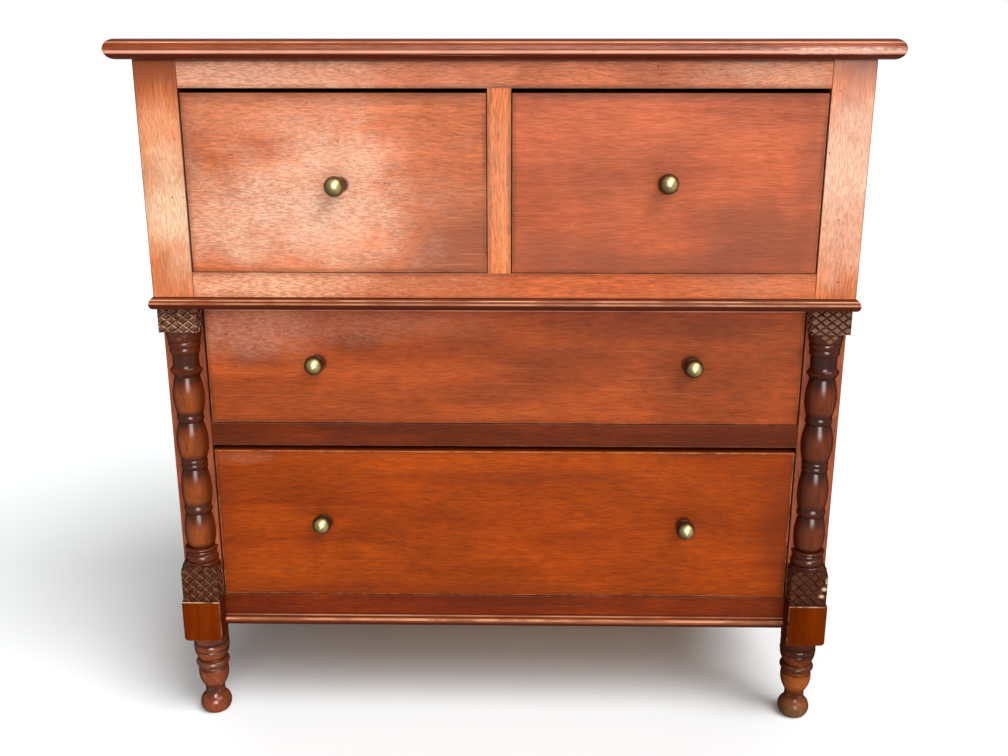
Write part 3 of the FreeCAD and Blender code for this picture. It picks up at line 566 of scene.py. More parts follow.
def lower_front():
    shade = (0.09, 0.022, 0.008)
    # dark is the colour of the painted knob shadows
    dark = (0.085, 0.012, 0.002)
    burnt = (0.15, 0.02, 0.003)
    brown = (0.18, 0.022, 0.003)
    cherry("middle_drawer_front", "X", (0.48, 0.089, 0.017), (0.36, 0.060, 0.010), (1.9, 0.3, 3.4),
           LOWER_FRONT,
           # Painted glare at the upper left
           fades_and_glare=[(-0.39, 0.65, 0.15, 0.07, (0.66, 0.27, 0.17), 0.85),
                  (-0.20, 0.66, 0.24, 0.04, (0.60, 0.23, 0.14), 0.5)],
           stains_and_shade=[(0.33, 0.60, 0.24, 0.10, shade, 0.25),
                   (0.10, 0.60, 0.20, 0.05, shade, 0.32),
                   (0.30, 0.655, 0.25, 0.03, shade, 0.32),
                   (-0.07, 0.63, 0.10, 0.03, shade, 0.30),
                   (-0.38, 0.61, 0.07, 0.03, shade, 0.45),
                   (-0.05, 0.55, 0.18, 0.02, shade, 0.22),
                   (-0.22, 0.632, 0.06, 0.022, shade, 0.45)],
           knob_shadow_rows=knob_shadows("middle", dark),
           # A pale top edge: rubbed wear with a painted highlight
           bands=[(0.6790, 0.6835, 0.0008, (0.98, 0.48, 0.35), 0.60, 1.0)],
           rub=0.35, rubbed=(0.55, 0.22, 0.10), marks=0.40, figure=0.8, fleck=0.18)
    cherry("lower_drawer_front", "X", (0.41, 0.062, 0.002), (0.30, 0.038, 0.001), (2.7, 1.4, 0.5),
           LOWER_FRONT,
           stains_and_shade=[(0.0, 0.415, 0.3, 0.02, burnt, 0.40),
                   (0.43, 0.33, 0.06, 0.14, burnt, 0.55),
                   (-0.44, 0.36, 0.04, 0.12, brown, 0.4),
                   (0.12, 0.31, 0.14, 0.03, brown, 0.25),
                   (-0.1, 0.225, 0.4, 0.02, burnt, 0.40)],
           fades_and_glare=[(-0.40, 0.446, 0.06, 0.014, (0.80, 0.45, 0.27), 0.16)],
           knob_shadow_rows=knob_shadows("lower", dark),
           rub=0.55, rubbed=(0.62, 0.25, 0.09), marks=0.14, figure=0.75, gloss=0.34, fleck=0.19)
    cherry("middle_blade", "X", (0.175, 0.025, 0.002), (0.115, 0.015, 0.001), (0.6, 2.4, 2.8),
           rub=0.3, rubbed=(0.36, 0.10, 0.04), marks=0.15)
    cherry("bottom_rail", "X", (0.25, 0.031, 0.001), (0.170, 0.018, 0.001), (3.4, 0.6, 1.1), LOWER_FRONT,
           stains_and_shade=[(0.05, 0.20, 0.3, 0.02, (0.09, 0.012, 0.002), 0.5)],
           # A painted shade line on the rail above the bead, and a pale line of wear and painted highlight
           # below it
           bands=[(0.1787, 0.1808, 0.0006, (0.065, 0.010, 0.002), 0.60, 0.90),
                  (0.1752, 0.1776, 0.0006, (0.62, 0.27, 0.14), 0.35, 0.95)],
           rub=0.25, rubbed=(0.42, 0.12, 0.04), marks=0.25)


def sides():
    number = 0
    for side in ("left", "right"):
        for piece, axis in (("top_side_rail", "Y"), ("waist_side_rail", "Y"), ("bottom_side_rail", "Y"),
                            ("upper_side_panel", "Z"), ("lower_side_panel", "Z")):
            number += 1
            cherry(side + "_" + piece, axis, (0.44, 0.105, 0.038), (0.31, 0.064, 0.02),
                   shift_of(number, (0.41, 0.67, 0.29)), rub=0.3, marks=0.25)


top_board()
upper_rails()
upper_drawers()
lower_front()
sides()


# Posts: a stile above, a plain block and a turned foot below

def turned_colour(tree, place, axis, pale, deep, inner, outer, smudge=0.45):
    """Amber on the swellings and dark in the grooves of turned work, the dark being dirt and painted shade.
    """
    turned = place_group(tree, TURNED, Vector=place, Axis=axis)
    colour = blend(tree, span(tree, turned["Radius"], inner, outer), rgb(deep), rgb(pale))
    return laid(tree, colour, deep, turned["Smudge"], smudge)


def varnished(tree, skin, share, roughness):
    """A thick glossy varnish that dies away where the surface turns out of sight."""
    facing = put(tree, "LayerWeight", Blend=0.5).outputs["Facing"]
    wire(tree, times(tree, span(tree, facing, 0.75, 0.35), share), skin["Coat Weight"])
    skin["Coat Roughness"].default_value = roughness
    skin["Specular IOR Level"].default_value = 0.0


def front_post(side, way, shift, stains_and_shade, fades_and_glare, worn, block, gleam):
    """One material for stile, plain block and turned foot, parted by height."""
    node = side + "_front_post"
    tree, skin, place = node_material(node)
    across, depth, height = parted(tree, place)
    vector = along(tree, place, "Z", shift)
    grain = wood(tree, vector, (0.78, 0.225, 0.080), (0.57, 0.138, 0.045), fleck=0.22)
    stile = patched(tree, place, grain["Colour"], spots(UPPER_FRONT, stains_and_shade))
    streak = span(tree, grain["Speckle"], 0.3, 1.0, 0.5, 0.95)
    stile = patched(tree, place, stile, spots(UPPER_FRONT, fades_and_glare), streak)
    behind = wood(tree, vector, (0.44, 0.125, 0.066), (0.30, 0.075, 0.036))["Colour"]
    plain = wood(tree, vector, *block, fleck=0.12)["Colour"]
    foot = worn_foot(tree, place, way, across, height, grain["Cloud"], worn)
    upper = above(tree, height, WAIST, WAIST_STEP)
    colour = blend(tree, span(tree, height, BLOCK_FOOT - FOOT_STEP, BLOCK_FOOT), foot, plain)
    colour = blend(tree, above(tree, height, BLOCK_TOP, BLOCK_STEP), colour, behind)
    colour = blend(tree, upper, colour, stile)
    old = place_group(tree, MARKS, Vector=vector)
    colour = laid(tree, colour, RUBBED, old["Scratches"], upper, 0.3)
    colour = laid(tree, colour, GRIME, old["Holes"], 0.8)
    colour = post_edges(tree, place, colour, calc(tree, "ABSOLUTE", across), depth, height)
    wire(tree, colour, skin["Base Color"])
    roughened(tree, skin, grain["Fibre"], 0.44, 0.30)
    turned = span(tree, height, BLOCK_FOOT + FOOT_STEP, BLOCK_FOOT)
    bright = calc(tree, "MAXIMUM", times(tree, turned, gleam), times(tree, upper, 0.15))
    varnished(tree, skin, bright, 0.20)
    cracked = times(tree, noise(tree, place, 130.0), times(tree, turned, 2.5))
    relief(tree, skin, calc(tree, "ADD", grain["Fibre"], cracked), 0.3, 0.0005)

def worn_foot(tree, place, way, across, height, mood, worn):
    """A turned front foot with worn and knocked places, painted shade towards its sides, and dirt and
    painted shade in its grooves.
    """
    dark = (0.050, 0.009, 0.002)
    foot = turned_colour(tree, place, (way * POST_AXIS, FRONT_FOOT_AXIS, 0.0),
                         (0.25, 0.048, 0.009), dark, 0.0130, 0.0215)
    foot = patched(tree, place, foot, worn)
    knocks = span(tree, noise(tree, place, 110.0, 4.0, 0.65), 0.54, 0.66, 0.0, 0.12)
    foot = laid(tree, foot, RUBBED, knocks)
    outward = apart(tree, across, way * POST_AXIS)
    # Painted shade towards the sides of the foot
    foot = laid(tree, foot, dark, span(tree, outward, 0.010, 0.027, 0.0, 0.7))
    # Grooves darkened with dirt and painted shade
    for low, high in FOOT_GROOVES:
        foot = banded(tree, height, foot, mood, low, high, 0.0010, (0.040, 0.008, 0.002), 0.7, 0.9)
    return foot


def post_edges(tree, place, colour, across, depth, height):
    """Dark joints, painted shade along the outer front corner and under the top, a dark line at the ledge
    of the plain block and a pale line rubbed along its edge.
    """
    front = span(tree, depth, UPPER_FRONT + 0.0022, UPPER_FRONT + 0.0010)
    inner = span(tree, across, POST_INNER + 0.0015, POST_INNER + 0.0006)
    # Painted shade along the outer front corner
    corner = times(tree, front, span(tree, across, POST_OUTER - 0.0022, POST_OUTER - 0.0006))
    from_ledge = apart(tree, height, BLOCK_TOP)
    dirt_and_shade_mask = calc(tree, "MAXIMUM", times(tree, inner, 0.85), times(tree, corner, 0.6))
    dirt_and_shade_mask = calc(tree, "MAXIMUM", dirt_and_shade_mask, times(tree, span(tree, from_ledge, 0.0012, 0.0004), 0.9))
    # Painted shade under the top
    dirt_and_shade_mask = calc(tree, "MAXIMUM", dirt_and_shade_mask, above(tree, height, UNDER_TOP, SHELTER, 0.85))
    colour = laid(tree, colour, (0.055, 0.010, 0.004), dirt_and_shade_mask)
    broken = span(tree, noise(tree, place, 70.0), 0.38, 0.60, 0.1, 1.0)
    block = times(tree, span(tree, height, BLOCK_FOOT, BLOCK_FOOT + 0.01),
                  span(tree, height, BLOCK_TOP, BLOCK_TOP - 0.001))
    line = calc(tree, "MAXIMUM", span(tree, from_ledge, 0.0014, 0.0007), times(tree, inner, block, 0.35))
    return laid(tree, colour, (0.66, 0.40, 0.25), line, front, broken)


def posts():
    left, right, foot = -POST_AXIS, POST_AXIS, FRONT_FOOT_AXIS
    front_post("left", -1, (0.2, 1.3, 0.4),
               # Darker tops of the stiles under the top: patina and painted shade
               stains_and_shade=[(left, 1.04, 0.09, 0.085, (0.36, 0.085, 0.032), 0.85),
                       (-0.490, 0.74, 0.04, 0.06, (0.36, 0.10, 0.045), 0.4)],
               # Pale patches of faded varnish and painted glare
               fades_and_glare=[(left, 0.94, 0.07, 0.07, (0.93, 0.42, 0.22), 0.8),
                      (-0.470, 0.83, 0.08, 0.10, (0.92, 0.68, 0.45), 0.95),
                      (-0.463, 0.745, 0.05, 0.05, (0.90, 0.52, 0.30), 0.4)],
               worn=[((left, foot, FOOT_RING), (0.1, 0.1, 0.009), (0.10, 0.036, 0.018), 0.75)],
               block=((0.198, 0.029, 0.002), (0.134, 0.017, 0.001)), gleam=0.4)
    front_post("right", 1, (1.4, 0.6, 2.4),
               stains_and_shade=[(right, 1.05, 0.09, 0.06, (0.40, 0.11, 0.055), 0.75)],
               # A painted glare down the middle of the right stile
               fades_and_glare=[(right, 0.88, 0.11, 0.18, (0.92, 0.60, 0.44), 1.0)],
               worn=[((right, foot, 0.0), (0.06, 0.08, 0.042), (0.130, 0.084, 0.040), 0.9),
                     ((right, foot - 0.03, 0.064), (0.06, 0.06, 0.026), (0.35, 0.086, 0.010), 0.85),
                     ((right, foot, FOOT_RING), (0.2, 0.2, 0.010), (0.06, 0.020, 0.009), 0.95),
                     ((right, foot, 0.122), (0.2, 0.2, 0.040), (0.045, 0.013, 0.006), 0.95)],
               block=((0.165, 0.024, 0.001), (0.110, 0.014, 0.001)), gleam=0.15)
    for side, way in SIDES:
        rear_post(side, way)


def rear_post(side, way):
    node = side + "_rear_post"
    tree, skin, place = node_material(node)
    height = parted(tree, place)[2]
    vector = along(tree, place, "Z", (0.7 * way, 2.2, 0.9))
    grain = wood(tree, vector, (0.42, 0.10, 0.036), (0.30, 0.062, 0.02))
    foot = turned_colour(tree, place, (way * POST_AXIS, REAR_FOOT_AXIS, 0.0),
                         (0.20, 0.040, 0.012), (0.035, 0.007, 0.002), 0.016, 0.023)
    colour = blend(tree, span(tree, height, BLOCK_FOOT - FOOT_STEP, BLOCK_FOOT), foot, grain["Colour"])
    colour = laid(tree, colour, RUBBED, board_edges(tree, place, node)["Rub"], 0.4)
    wire(tree, colour, skin["Base Color"])
    roughened(tree, skin, grain["Fibre"], 0.46, 0.32)
    varnished(tree, skin, span(tree, height, BLOCK_FOOT + FOOT_STEP, BLOCK_FOOT, 0.05, 0.4), 0.22)
    relief(tree, skin, grain["Fibre"], 0.25, 0.0004)

posts()


# Split columns and mouldings

def bulb_painted_glow(tree, height):
    """One on the lower half of each long swelling of a column, where an amber glow of light is painted."""
    glow = 0.0
    for low, high in BULBS:
        length = high - low
        rise = span(tree, height, low, low + 0.20 * length)
        fall = span(tree, height, low + 0.95 * length, low + 0.50 * length)
        glow = calc(tree, "ADD", glow, times(tree, rise, fall))
    return glow


def column(side, way, pale, deep, amber):
    """One split column, with a painted amber glow on the lower half of its swellings, painted shade at
    their sides, and dark in its grooves and on its square ends.
    """
    node = side + "_split_column"
    tree, skin, place = node_material(node)
    across, _, height = parted(tree, place)
    vector = along(tree, place, "Z", (1.2 * way, 0.3, 0.8))
    fibre = place_group(tree, GRAIN, Vector=vector)["Fibre"]
    colour = turned_colour(tree, place, (way * POST_AXIS, LOWER_FRONT, 0.0), pale, deep, 0.0185, 0.0235)
    # The amber glow thins out to the sides, which keep painted shade
    facing = span(tree, apart(tree, across, way * POST_AXIS), 0.0240, 0.0070)
    smoky = span(tree, streaks(tree, vector, 30.0, 70.0, detail=4.0), 0.36, 0.60, 0.55, 1.0)
    colour = laid(tree, colour, amber, bulb_painted_glow(tree, height), facing, smoky)
    colour = shaded(tree, colour, fibre, 0.82, 1.15)
    foot_block = span(tree, height, SHOULDER + 0.001, SHOULDER - 0.003)
    head_block = above(tree, height, COLUMN_HEAD, HEAD_STEP)
    colour = laid(tree, colour, BLACKENED, calc(tree, "MAXIMUM", foot_block, head_block))
    wire(tree, colour, skin["Base Color"])
    roughened(tree, skin, fibre, 0.40, 0.28)
    varnished(tree, skin, 0.3, 0.24)
    relief(tree, skin, fibre, 0.12, 0.0003)

def moulding(node, axis, shift, lines, under, top, pale, deep):
    """A dark moulding with a dark line along its top edge, painted shade on its underside, and pale lines
    of rubbed wear and painted highlight along its length.
    """
    tree, skin, place = node_material(node)
    height = parted(tree, place)[2]
    vector = along(tree, place, axis, shift)
    grain = wood(tree, vector, pale, deep)
    # Painted shade on the underside
    below = span(tree, height, under + 0.001, under - 0.001)
    colour = laid(tree, grain["Colour"], (0.085, 0.013, 0.003), below)
    colour = laid(tree, colour, GRIME, span(tree, height, top - 0.0030, top - 0.0016, 0.0, 0.8))
    mood = streaks(tree, vector, 14.0, 60.0, detail=4.0)
    # Pale lines: rubbed wear and painted highlight
    for level, reach, share in lines:
        colour = banded(tree, height, colour, mood, level - reach, level + reach, 0.0008,
                        (0.72, 0.32, 0.17), 0.35 * share, share)
    wire(tree, colour, skin["Base Color"])
    roughened(tree, skin, grain["Fibre"], 0.42, 0.28)
    skin["Specular IOR Level"].default_value = 0.03
    relief(tree, skin, grain["Fibre"], 0.2, 0.0004)

def columns_and_mouldings():
    column("left", -1, (0.105, 0.016, 0.002), (0.050, 0.009, 0.001), (0.29, 0.059, 0.006))
    column("right", 1, (0.070, 0.010, 0.001), (0.034, 0.006, 0.001), (0.15, 0.026, 0.002))
    lines = ((WAIST + 0.0090, 0.0011, 0.7), (WAIST + 0.0137, 0.0008, 1.0))
    for node, axis, shift in (("front_waist_moulding", "X", (0.9, 0.5, 0.1)),
                              ("left_waist_moulding", "Y", (0.3, 1.5, 0.7)),
                              ("right_waist_moulding", "Y", (1.3, 2.5, 0.6))):
        moulding(node, axis, shift, lines, WAIST + 0.0072, WAIST + 0.0185,
                 (0.24, 0.046, 0.012), (0.16, 0.027, 0.006))
    moulding("bottom_bead", "X", (2.1, 0.8, 0.4), ((0.1713, 0.0013, 1.0),), 0.1675, 0.1765,
             (0.24, 0.055, 0.014), (0.15, 0.028, 0.006))


columns_and_mouldings()


# Knobs

def brass(node, front, lean):
    """Aged brass, lighter towards the upper right and darker towards the lower left as painted light and
    shade, with painted shade round the rim and tarnish with painted shade round the stem.
    """
    bright, dull = (0.31, 0.24, 0.108), (0.085, 0.066, 0.028)
    tarnish_and_shade, speck = (0.045, 0.033, 0.014), (0.09, 0.06, 0.02)
    tree, skin, place = node_material(node)
    low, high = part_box(node)
    across, depth, height = parted(tree, place)
    across = calc(tree, "SUBTRACT", across, (low[0] + high[0]) / 2)
    height = calc(tree, "SUBTRACT", height, (low[2] + high[2]) / 2)
    side = calc(tree, "SIGN", across)
    across = calc(tree, "SUBTRACT", across, times(tree, side, (high[0] - low[0]) / 2 - KNOB_BALL))
    height = calc(tree, "ADD", height, times(tree, side, lean))
    patch = noise(tree, place, 130.0, 4.0, 0.6)
    # Painted light and shade: lighter towards the upper right, darker towards the lower left
    lit = calc(tree, "ADD", times(tree, across, 0.8), times(tree, height, 0.6))
    lit = calc(tree, "ADD", lit, swing(tree, patch, 0.008))
    colour = blend(tree, span(tree, lit, -0.010, 0.007), rgb(dull), rgb(bright))
    away = put(tree, "CombineXYZ", X=across, Y=height).outputs[0]
    # Painted shade round the rim, and tarnish with painted shade round the stem
    rim = span(tree, vector_calc(tree, "LENGTH", away), 0.0095, 0.0142, 0.0, 0.8)
    stem = span(tree, calc(tree, "SUBTRACT", front, depth), 0.019, 0.014)
    colour = laid(tree, colour, tarnish_and_shade, calc(tree, "MAXIMUM", rim, stem))
    specks = span(tree, noise(tree, place, 420.0, 2.0), 0.60, 0.72)
    wire(tree, laid(tree, colour, speck, specks, 0.5), skin["Base Color"])
    skin["Metallic"].default_value = 1.0
    roughened(tree, skin, patch, 0.43, 0.31)
    relief(tree, skin, patch, 0.08, 0.0003)

for drawer, front, lean in (("upper_left", UPPER_FRONT, 0.0), ("upper_right", UPPER_FRONT, 0.0),
                            ("middle", LOWER_FRONT, 0.0012), ("lower", LOWER_FRONT, 0.003)):
    brass(drawer + "_drawer_knobs", front, lean)


# Bare softwood inside

def pine(node, axis, number, pale, deep, boards=1):
    """Bare aged softwood with soft dark year rings, dust, and dirt in the joints between stacked boards."""
    tree, skin, place = node_material(node)
    foot, head = (corner[2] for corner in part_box(node))
    level = parted(tree, place)[2]
    vector = along(tree, place, axis, shift_of(number, (0.37, 0.53, 0.71)))
    grain = wood(tree, vector, pale, deep)
    rings = put(tree, "TexWave", {"bands_direction": "Z"},
                Vector=scaled(tree, vector, (0.6, 1.0, 1.0)), Scale=16.0, Distortion=5.0, Detail=2.0)
    colour = shaded(tree, grain["Colour"], rings.outputs["Fac"], 1.06, 0.86)
    for board in range(1, boards):
        joint = foot + (head - foot) * board / boards
        colour = banded(tree, level, colour, grain["Cloud"], joint - 0.0008, joint + 0.0008, 0.0007,
                        (0.05, 0.026, 0.011), 0.8, 1.0)
    colour = laid(tree, colour, (0.10, 0.055, 0.025), board_edges(tree, place, node)["GrimeAndShade"], 0.5)
    old = place_group(tree, MARKS, Vector=vector)
    wire(tree, laid(tree, colour, (0.12, 0.07, 0.03), old["Specks"], 0.35), skin["Base Color"])
    roughened(tree, skin, grain["Fibre"], 0.80, 0.62)
    skin["Specular IOR Level"].default_value = 0.25
    relief(tree, skin, grain["Fibre"], 0.3, 0.0005)

def inside():
    clean = ((0.56, 0.29, 0.11), (0.42, 0.195, 0.067))
    dusty = ((0.37, 0.180, 0.070), (0.25, 0.112, 0.042))
    number = 0
    for drawer in ("upper_left_drawer", "upper_right_drawer", "middle_drawer", "lower_drawer"):
        for board, axis in (("left_side", "Y"), ("right_side", "Y"), ("back", "X"), ("bottom", "X")):
            number += 1
            pine(drawer + "_" + board, axis, number, *clean)
    for node, axis in (("upper_runners", "Y"), ("lower_runners", "Y"), ("top_kickers", "Y"),
                       ("drawer_guides", "Y"), ("drawer_stops", "X"), ("back_boards", "X"),
                       ("top_rear_rail", "X"), ("waist_rear_rail", "X"), ("middle_rear_rail", "X"),
                       ("bottom_rear_rail", "X")):
        number += 1
        pine(node, axis, number, *dusty, boards=BACK_BOARD_COUNT if node == "back_boards" else 1)


inside()


# Carving

def carved_material(name, pale, deep, gloss, patches=()):
    material, tree, skin, place = new_material(name)
    patch = noise(tree, place, 120.0, 4.0, 0.6)
    colour = blend(tree, span(tree, patch, 0.35, 0.65), rgb(deep), rgb(pale))
    wire(tree, patched(tree, place, colour, patches), skin["Base Color"])
    roughened(tree, skin, patch, gloss + 0.08, gloss - 0.06)
    skin["Specular IOR Level"].default_value = 0.05
    relief(tree, skin, patch, 0.2, 0.0004)
    return material


BARE_WOOD = (0.80, 0.55, 0.32)
CHIP_DEPTH = 0.02
CHIPS = spots(CARVED_FACE, [(0.5040, 0.2560, 0.0030, 0.0080, BARE_WOOD, 0.75, CHIP_DEPTH),
                            (0.5010, 0.2420, 0.0058, 0.0048, BARE_WOOD, 0.90, CHIP_DEPTH),
                            (0.4970, 0.2300, 0.0060, 0.0042, BARE_WOOD, 0.90, CHIP_DEPTH)])
# On the right blocks the painted highlight on the upper edges is darkened to painted shade, and the head's
# flats are paler
RIGHT_BLOCKS = ((POST_AXIS, CARVED_FACE, 0.45), (0.6, 0.6, 3.0))
RIGHT_EDGES_SHADED = [(*RIGHT_BLOCKS, BLACKENED, 0.8)]
RIGHT_FLATS_PALER = [(*RIGHT_BLOCKS, (0.25, 0.115, 0.075), 0.7)]
# Grooves dark with dirt and painted shade; the edges facing up carry a painted highlight
GROOVE = carved_material("carved_groove_dirt_and_shade", (0.040, 0.009, 0.003), (0.014, 0.003, 0.001), 0.45)
PALE_FLAT = carved_material("carved_head_varnish", (0.19, 0.070, 0.038), (0.08, 0.024, 0.012), 0.30,
                            RIGHT_FLATS_PALER)
PALE_EDGE = carved_material("carved_head_painted_highlight_edge", (0.62, 0.35, 0.22), (0.13, 0.048, 0.025), 0.35,
                            RIGHT_EDGES_SHADED)
DARK_FLAT = carved_material("carved_foot_varnish", (0.105, 0.027, 0.012), (0.060, 0.015, 0.006), 0.28,
                            CHIPS)
DARK_EDGE = carved_material("carved_foot_painted_highlight_edge", (0.22, 0.10, 0.050), (0.06, 0.018, 0.008), 0.33,
                            RIGHT_EDGES_SHADED + CHIPS)


def pick(piece):
    """Makes a piece the only one that is selected."""
    bpy.ops.object.select_all(action="DESELECT")
    piece.select_set(True)
    bpy.context.view_layer.objects.active = piece


def pick_faces(piece, wanted):
    """Selects the faces that pass a test, and leaves the piece in edit mode."""
    bpy.ops.object.mode_set(mode="OBJECT")
    mesh = piece.data
    for kind in (mesh.vertices, mesh.edges, mesh.polygons):
        for item in kind:
            item.select = False
    for face in mesh.polygons:
        face.select = wanted(face)
    bpy.ops.object.mode_set(mode="EDIT")


def edit_faces():
    bpy.ops.object.mode_set(mode="EDIT")
    bpy.ops.mesh.select_mode(type="FACE")
    bpy.ops.mesh.select_all(action="SELECT")


def paint_picked(piece, slot):
    piece.active_material_index = slot
    bpy.ops.object.material_slot_assign()


def looks_up(face):
    return face.normal.z > UPWARD


def carved_plate(width, height, diamond, flat_share, flat, edge):
    """A slab of diamonds between crossed grooves, with a painted highlight on the walls that face up, and
    cut to size.
    """
    wide, high = diamond
    bpy.ops.object.select_all(action="DESELECT")
    bpy.ops.mesh.primitive_grid_add(x_subdivisions=CARVING_CELLS, y_subdivisions=CARVING_CELLS, size=1.0)
    plate = bpy.context.object
    for skin in (GROOVE, flat, edge):
        plate.data.materials.append(skin)
    edit_faces()
    bpy.ops.transform.rotate(value=math.radians(45), orient_axis="Z", center_override=(0, 0, 0))
    stretch = CARVING_CELLS / math.sqrt(2)
    bpy.ops.transform.resize(value=(wide * stretch, high * stretch, 1), center_override=(0, 0, 0))
    bpy.ops.mesh.extrude_region_move(TRANSFORM_OT_translate={"value": (0, 0, -SLAB)})
    bpy.ops.mesh.select_all(action="SELECT")
    bpy.ops.mesh.normals_make_consistent(inside=False)
    pick_faces(plate, looks_up)
    side = wide * high / math.hypot(wide, high)
    bpy.ops.mesh.inset(thickness=side * (1 - flat_share) / 2, depth=CARVING_DEPTH, use_individual=True)
    paint_picked(plate, 1)
    # Walls facing up take the painted highlight material
    pick_faces(plate, lambda face: 0.1 < face.normal.z < 0.95 and face.normal.y > 0.1)
    paint_picked(plate, 2)
    for place, way in (((width / 2, 0, 0), (1, 0, 0)), ((-width / 2, 0, 0), (-1, 0, 0)),
                       ((0, height / 2, 0), (0, 1, 0)), ((0, -height / 2, 0), (0, -1, 0))):
        bpy.ops.mesh.select_all(action="SELECT")
        bpy.ops.mesh.bisect(plane_co=place, plane_no=way, use_fill=True, clear_outer=True)
    bpy.ops.object.mode_set(mode="OBJECT")
    return plate


def settle(piece):
    """Puts an object's place into its mesh."""
    pick(piece)
    bpy.ops.object.transform_apply(location=True, rotation=True, scale=True)


def set_copy(pattern, name, turn, place):
    """A turned copy of a pattern at its place on a column, which rides with the case."""
    piece = pattern.copy()
    piece.data = pattern.data.copy()
    piece.name = name
    bpy.context.scene.collection.objects.link(piece)
    piece.rotation_euler = turn
    piece.location = place
    settle(piece)
    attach(piece, "case")
    return piece


def set_plate(pattern, name, face, way, low, high):
    """A copy of a plate on the front or on a side of a block."""
    reach = CARVED_GROUND + CARVING_LIFT
    middle = (low + high) / 2
    if face == "front":
        return set_copy(pattern, name, (math.pi / 2, 0, 0), (way * POST_AXIS, LOWER_FRONT - reach, middle))
    turn = 1 if face == "right" else -1
    return set_copy(pattern, name, (math.pi / 2, 0, turn * math.pi / 2),
                    (way * POST_AXIS + turn * reach, LOWER_FRONT - CARVED_GROUND / 2, middle))


def shoulder_cutter(way):
    """A turned body whose rounded top gives the carved foot block its sloping corners."""
    bpy.ops.object.select_all(action="DESELECT")
    across = way * POST_AXIS
    foot = BLOCK_TOP - SHOULDER_SINK
    level = SHOULDER - SHOULDER_EDGE
    here = SHOULDER_RADIUS
    bpy.ops.mesh.primitive_cylinder_add(vertices=SHOULDER_SIDES, radius=here, depth=level - foot,
                                        location=(across, LOWER_FRONT, (level + foot) / 2))
    cutter = bpy.context.object
    settle(cutter)
    edit_faces()
    pick_faces(cutter, looks_up)
    for radius, drop in SHOULDER_CURVE:
        height = SHOULDER - drop
        bpy.ops.mesh.extrude_region_move(TRANSFORM_OT_translate={"value": (0, 0, height - level)})
        bpy.ops.transform.resize(value=(radius / here, radius / here, 1),
                                 center_override=(across, LOWER_FRONT, height))
        here = radius
        level = height
    bpy.ops.object.mode_set(mode="OBJECT")
    return cutter


def rounded_by(plate, cutter):
    trim = plate.modifiers.new("shoulder", "BOOLEAN")
    trim.operation = "INTERSECT"
    trim.solver = "EXACT"
    trim.object = cutter
    pick(plate)
    bpy.ops.object.modifier_apply(modifier=trim.name)


def carved_blocks():
    levels = {"head": (COLUMN_HEAD, WAIST), "foot": (BLOCK_TOP, SHOULDER)}
    carvings = {"head": (HEAD_DIAMOND, HEAD_FLAT_SHARE, PALE_FLAT, PALE_EDGE),
                "foot": (FOOT_DIAMOND, FOOT_FLAT_SHARE, DARK_FLAT, DARK_EDGE)}
    patterns = {}
    for end, (low, high) in levels.items():
        patterns[end, "front"] = carved_plate(2 * BLOCK_HALF, high - low, *carvings[end])
        patterns[end, "side"] = carved_plate(CARVED_GROUND, high - low, *carvings[end])
    for side, way in SIDES:
        cutter = shoulder_cutter(way)
        for end, (low, high) in levels.items():
            for face in ("front", "left", "right"):
                pattern = patterns[end, "front" if face == "front" else "side"]
                plate = set_plate(pattern, side + "_" + end + "_carving_" + face, face, way, low, high)
                if end == "foot":
                    rounded_by(plate, cutter)
        bpy.data.objects.remove(cutter)
    for pattern in patterns.values():
        bpy.data.objects.remove(pattern)


def cup_diamond():
    """One diamond with a smaller face than foot, standing on its foot."""
    bpy.ops.object.select_all(action="DESELECT")
    bpy.ops.mesh.primitive_cylinder_add(vertices=4, radius=1.0, depth=CUP_DIAMOND_THICKNESS)
    diamond = bpy.context.object
    diamond.data.materials.append(PALE_FLAT)
    edit_faces()
    wide, high = (CUP_DIAMOND_SHARE * size for size in HEAD_DIAMOND)
    bpy.ops.transform.resize(value=(wide, high, 1), center_override=(0, 0, 0))
    pick_faces(diamond, looks_up)
    bpy.ops.transform.resize(value=(CUP_FACE_SHARE, CUP_FACE_SHARE, 1),
                             center_override=(0, 0, CUP_DIAMOND_THICKNESS / 2))
    bpy.ops.mesh.inset(thickness=CUP_DIAMOND_RIM, depth=0.0)
    bpy.ops.object.mode_set(mode="OBJECT")
    return diamond


def cup_diamonds():
    """The carving runs down in a point over the cup below the head block."""
    pattern = cup_diamond()
    for side, way in SIDES:
        for number, (across, level, radius) in enumerate(CUP_DIAMOND_PLACES, 1):
            turn = across / radius
            place = (way * POST_AXIS + radius * math.sin(turn),
                     LOWER_FRONT - radius * math.cos(turn), level)
            name = side + "_cup_diamond_" + str(number)
            set_copy(pattern, name, (math.pi / 2 + CUP_LEAN, 0, turn), place)
    bpy.data.objects.remove(pattern)


carved_blocks()
cup_diamonds()


# Floor, light and camera

def shown_rays(tree):
    """One for rays that the camera or a shiny surface sends, and zero for the light on things."""
    path = put(tree, "LightPath").outputs
    seen = calc(tree, "MAXIMUM", path["Is Camera Ray"], path["Is Glossy Ray"])
    return calc(tree, "MAXIMUM", seen, path["Is Transmission Ray"])


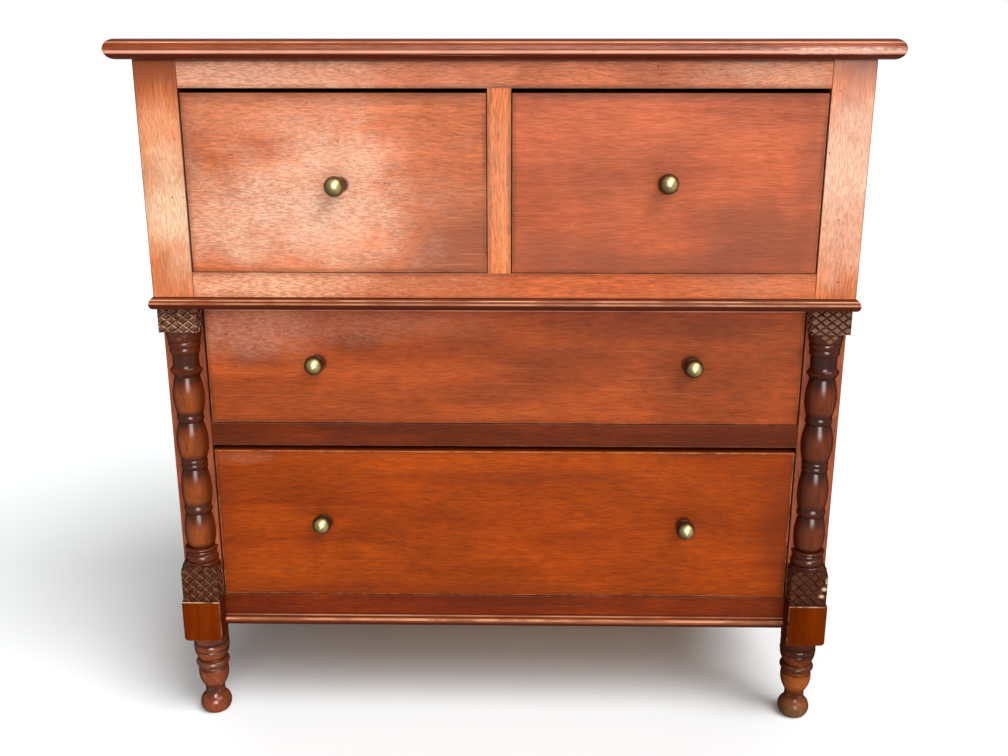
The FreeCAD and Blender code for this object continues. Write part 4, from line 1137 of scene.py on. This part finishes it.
def floor():
    bpy.ops.object.select_all(action="DESELECT")
    bpy.ops.mesh.primitive_plane_add(size=FLOOR_SIZE, location=(0, 0, 0))
    made = bpy.context.object
    made.name = "floor"
    material, tree, skin, place = new_material("pale_floor")
    skin["Base Color"].default_value = rgb(FLOOR_COLOUR)
    skin["Roughness"].default_value = FLOOR_ROUGHNESS
    skin["Specular IOR Level"].default_value = 0.0
    skin["Emission Color"].default_value = rgb(WHITE)
    glow = span(tree, vector_calc(tree, "LENGTH", place), *GLOW_REACH, 0.0, GLOW_STRENGTH)
    wire(tree, times(tree, shown_rays(tree), glow), skin["Emission Strength"])
    made.data.materials.append(material)


def add_to_scene(name, data):
    made = bpy.data.objects.new(name, data)
    bpy.context.scene.collection.objects.link(made)
    return made


def aim(lamp, place, target):
    lamp.location = place
    lamp.rotation_euler = (Vector(target) - Vector(place)).to_track_quat("-Z", "Y").to_euler()


def panel_light(name, place, target, width, height, power, only_gloss):
    """A panel that either shows in shiny surfaces or lights things, and not both."""
    data = bpy.data.lights.new(name, "AREA")
    data.shape = "RECTANGLE"
    data.size = width
    data.size_y = height
    data.energy = power
    lamp = add_to_scene(name, data)
    lamp.visible_diffuse = not only_gloss
    lamp.visible_glossy = only_gloss
    aim(lamp, place, target)


def sky_light(name, way, strength, softness):
    data = bpy.data.lights.new(name, "SUN")
    data.energy = strength
    data.angle = math.radians(softness)
    aim(add_to_scene(name, data), way, (0, 0, 0))


def studio():
    world = bpy.context.scene.world or bpy.data.worlds.new("studio")
    bpy.context.scene.world = world
    world.use_nodes = True
    tree = world.node_tree
    tree.nodes.clear()
    strength = put(tree, "MapRange", Value=shown_rays(tree), To_Min=SKY_STRENGTH, To_Max=1.0)
    sky = put(tree, "Background", Color=rgb(WHITE), Strength=strength.outputs["Result"])
    put(tree, "OutputWorld", Surface=sky.outputs[0])
    sky_light("high_soft_light", way=(0.45, -0.40, 0.80), strength=2.75, softness=40)
    panel_light("front_softbox", place=(0.2, -3.6, 2.4), target=(0.0, -0.2, 0.6), width=2.6, height=1.6,
                power=42, only_gloss=False)
    panel_light("far_window", place=(1.7, -12.0, 5.1), target=(1.7, 0.0, 5.1), width=5.6, height=9.0,
                power=4900, only_gloss=True)


def camera():
    data = bpy.data.cameras.new("camera")
    data.lens = CAMERA_LENS
    made = add_to_scene("camera", data)
    made.location = CAMERA_PLACE
    made.rotation_euler = (math.radians(CAMERA_TILT), 0, math.radians(CAMERA_TURN))
    bpy.context.scene.camera = made


floor()
studio()
camera()
bpy.context.scene.view_settings.view_transform = "Standard"
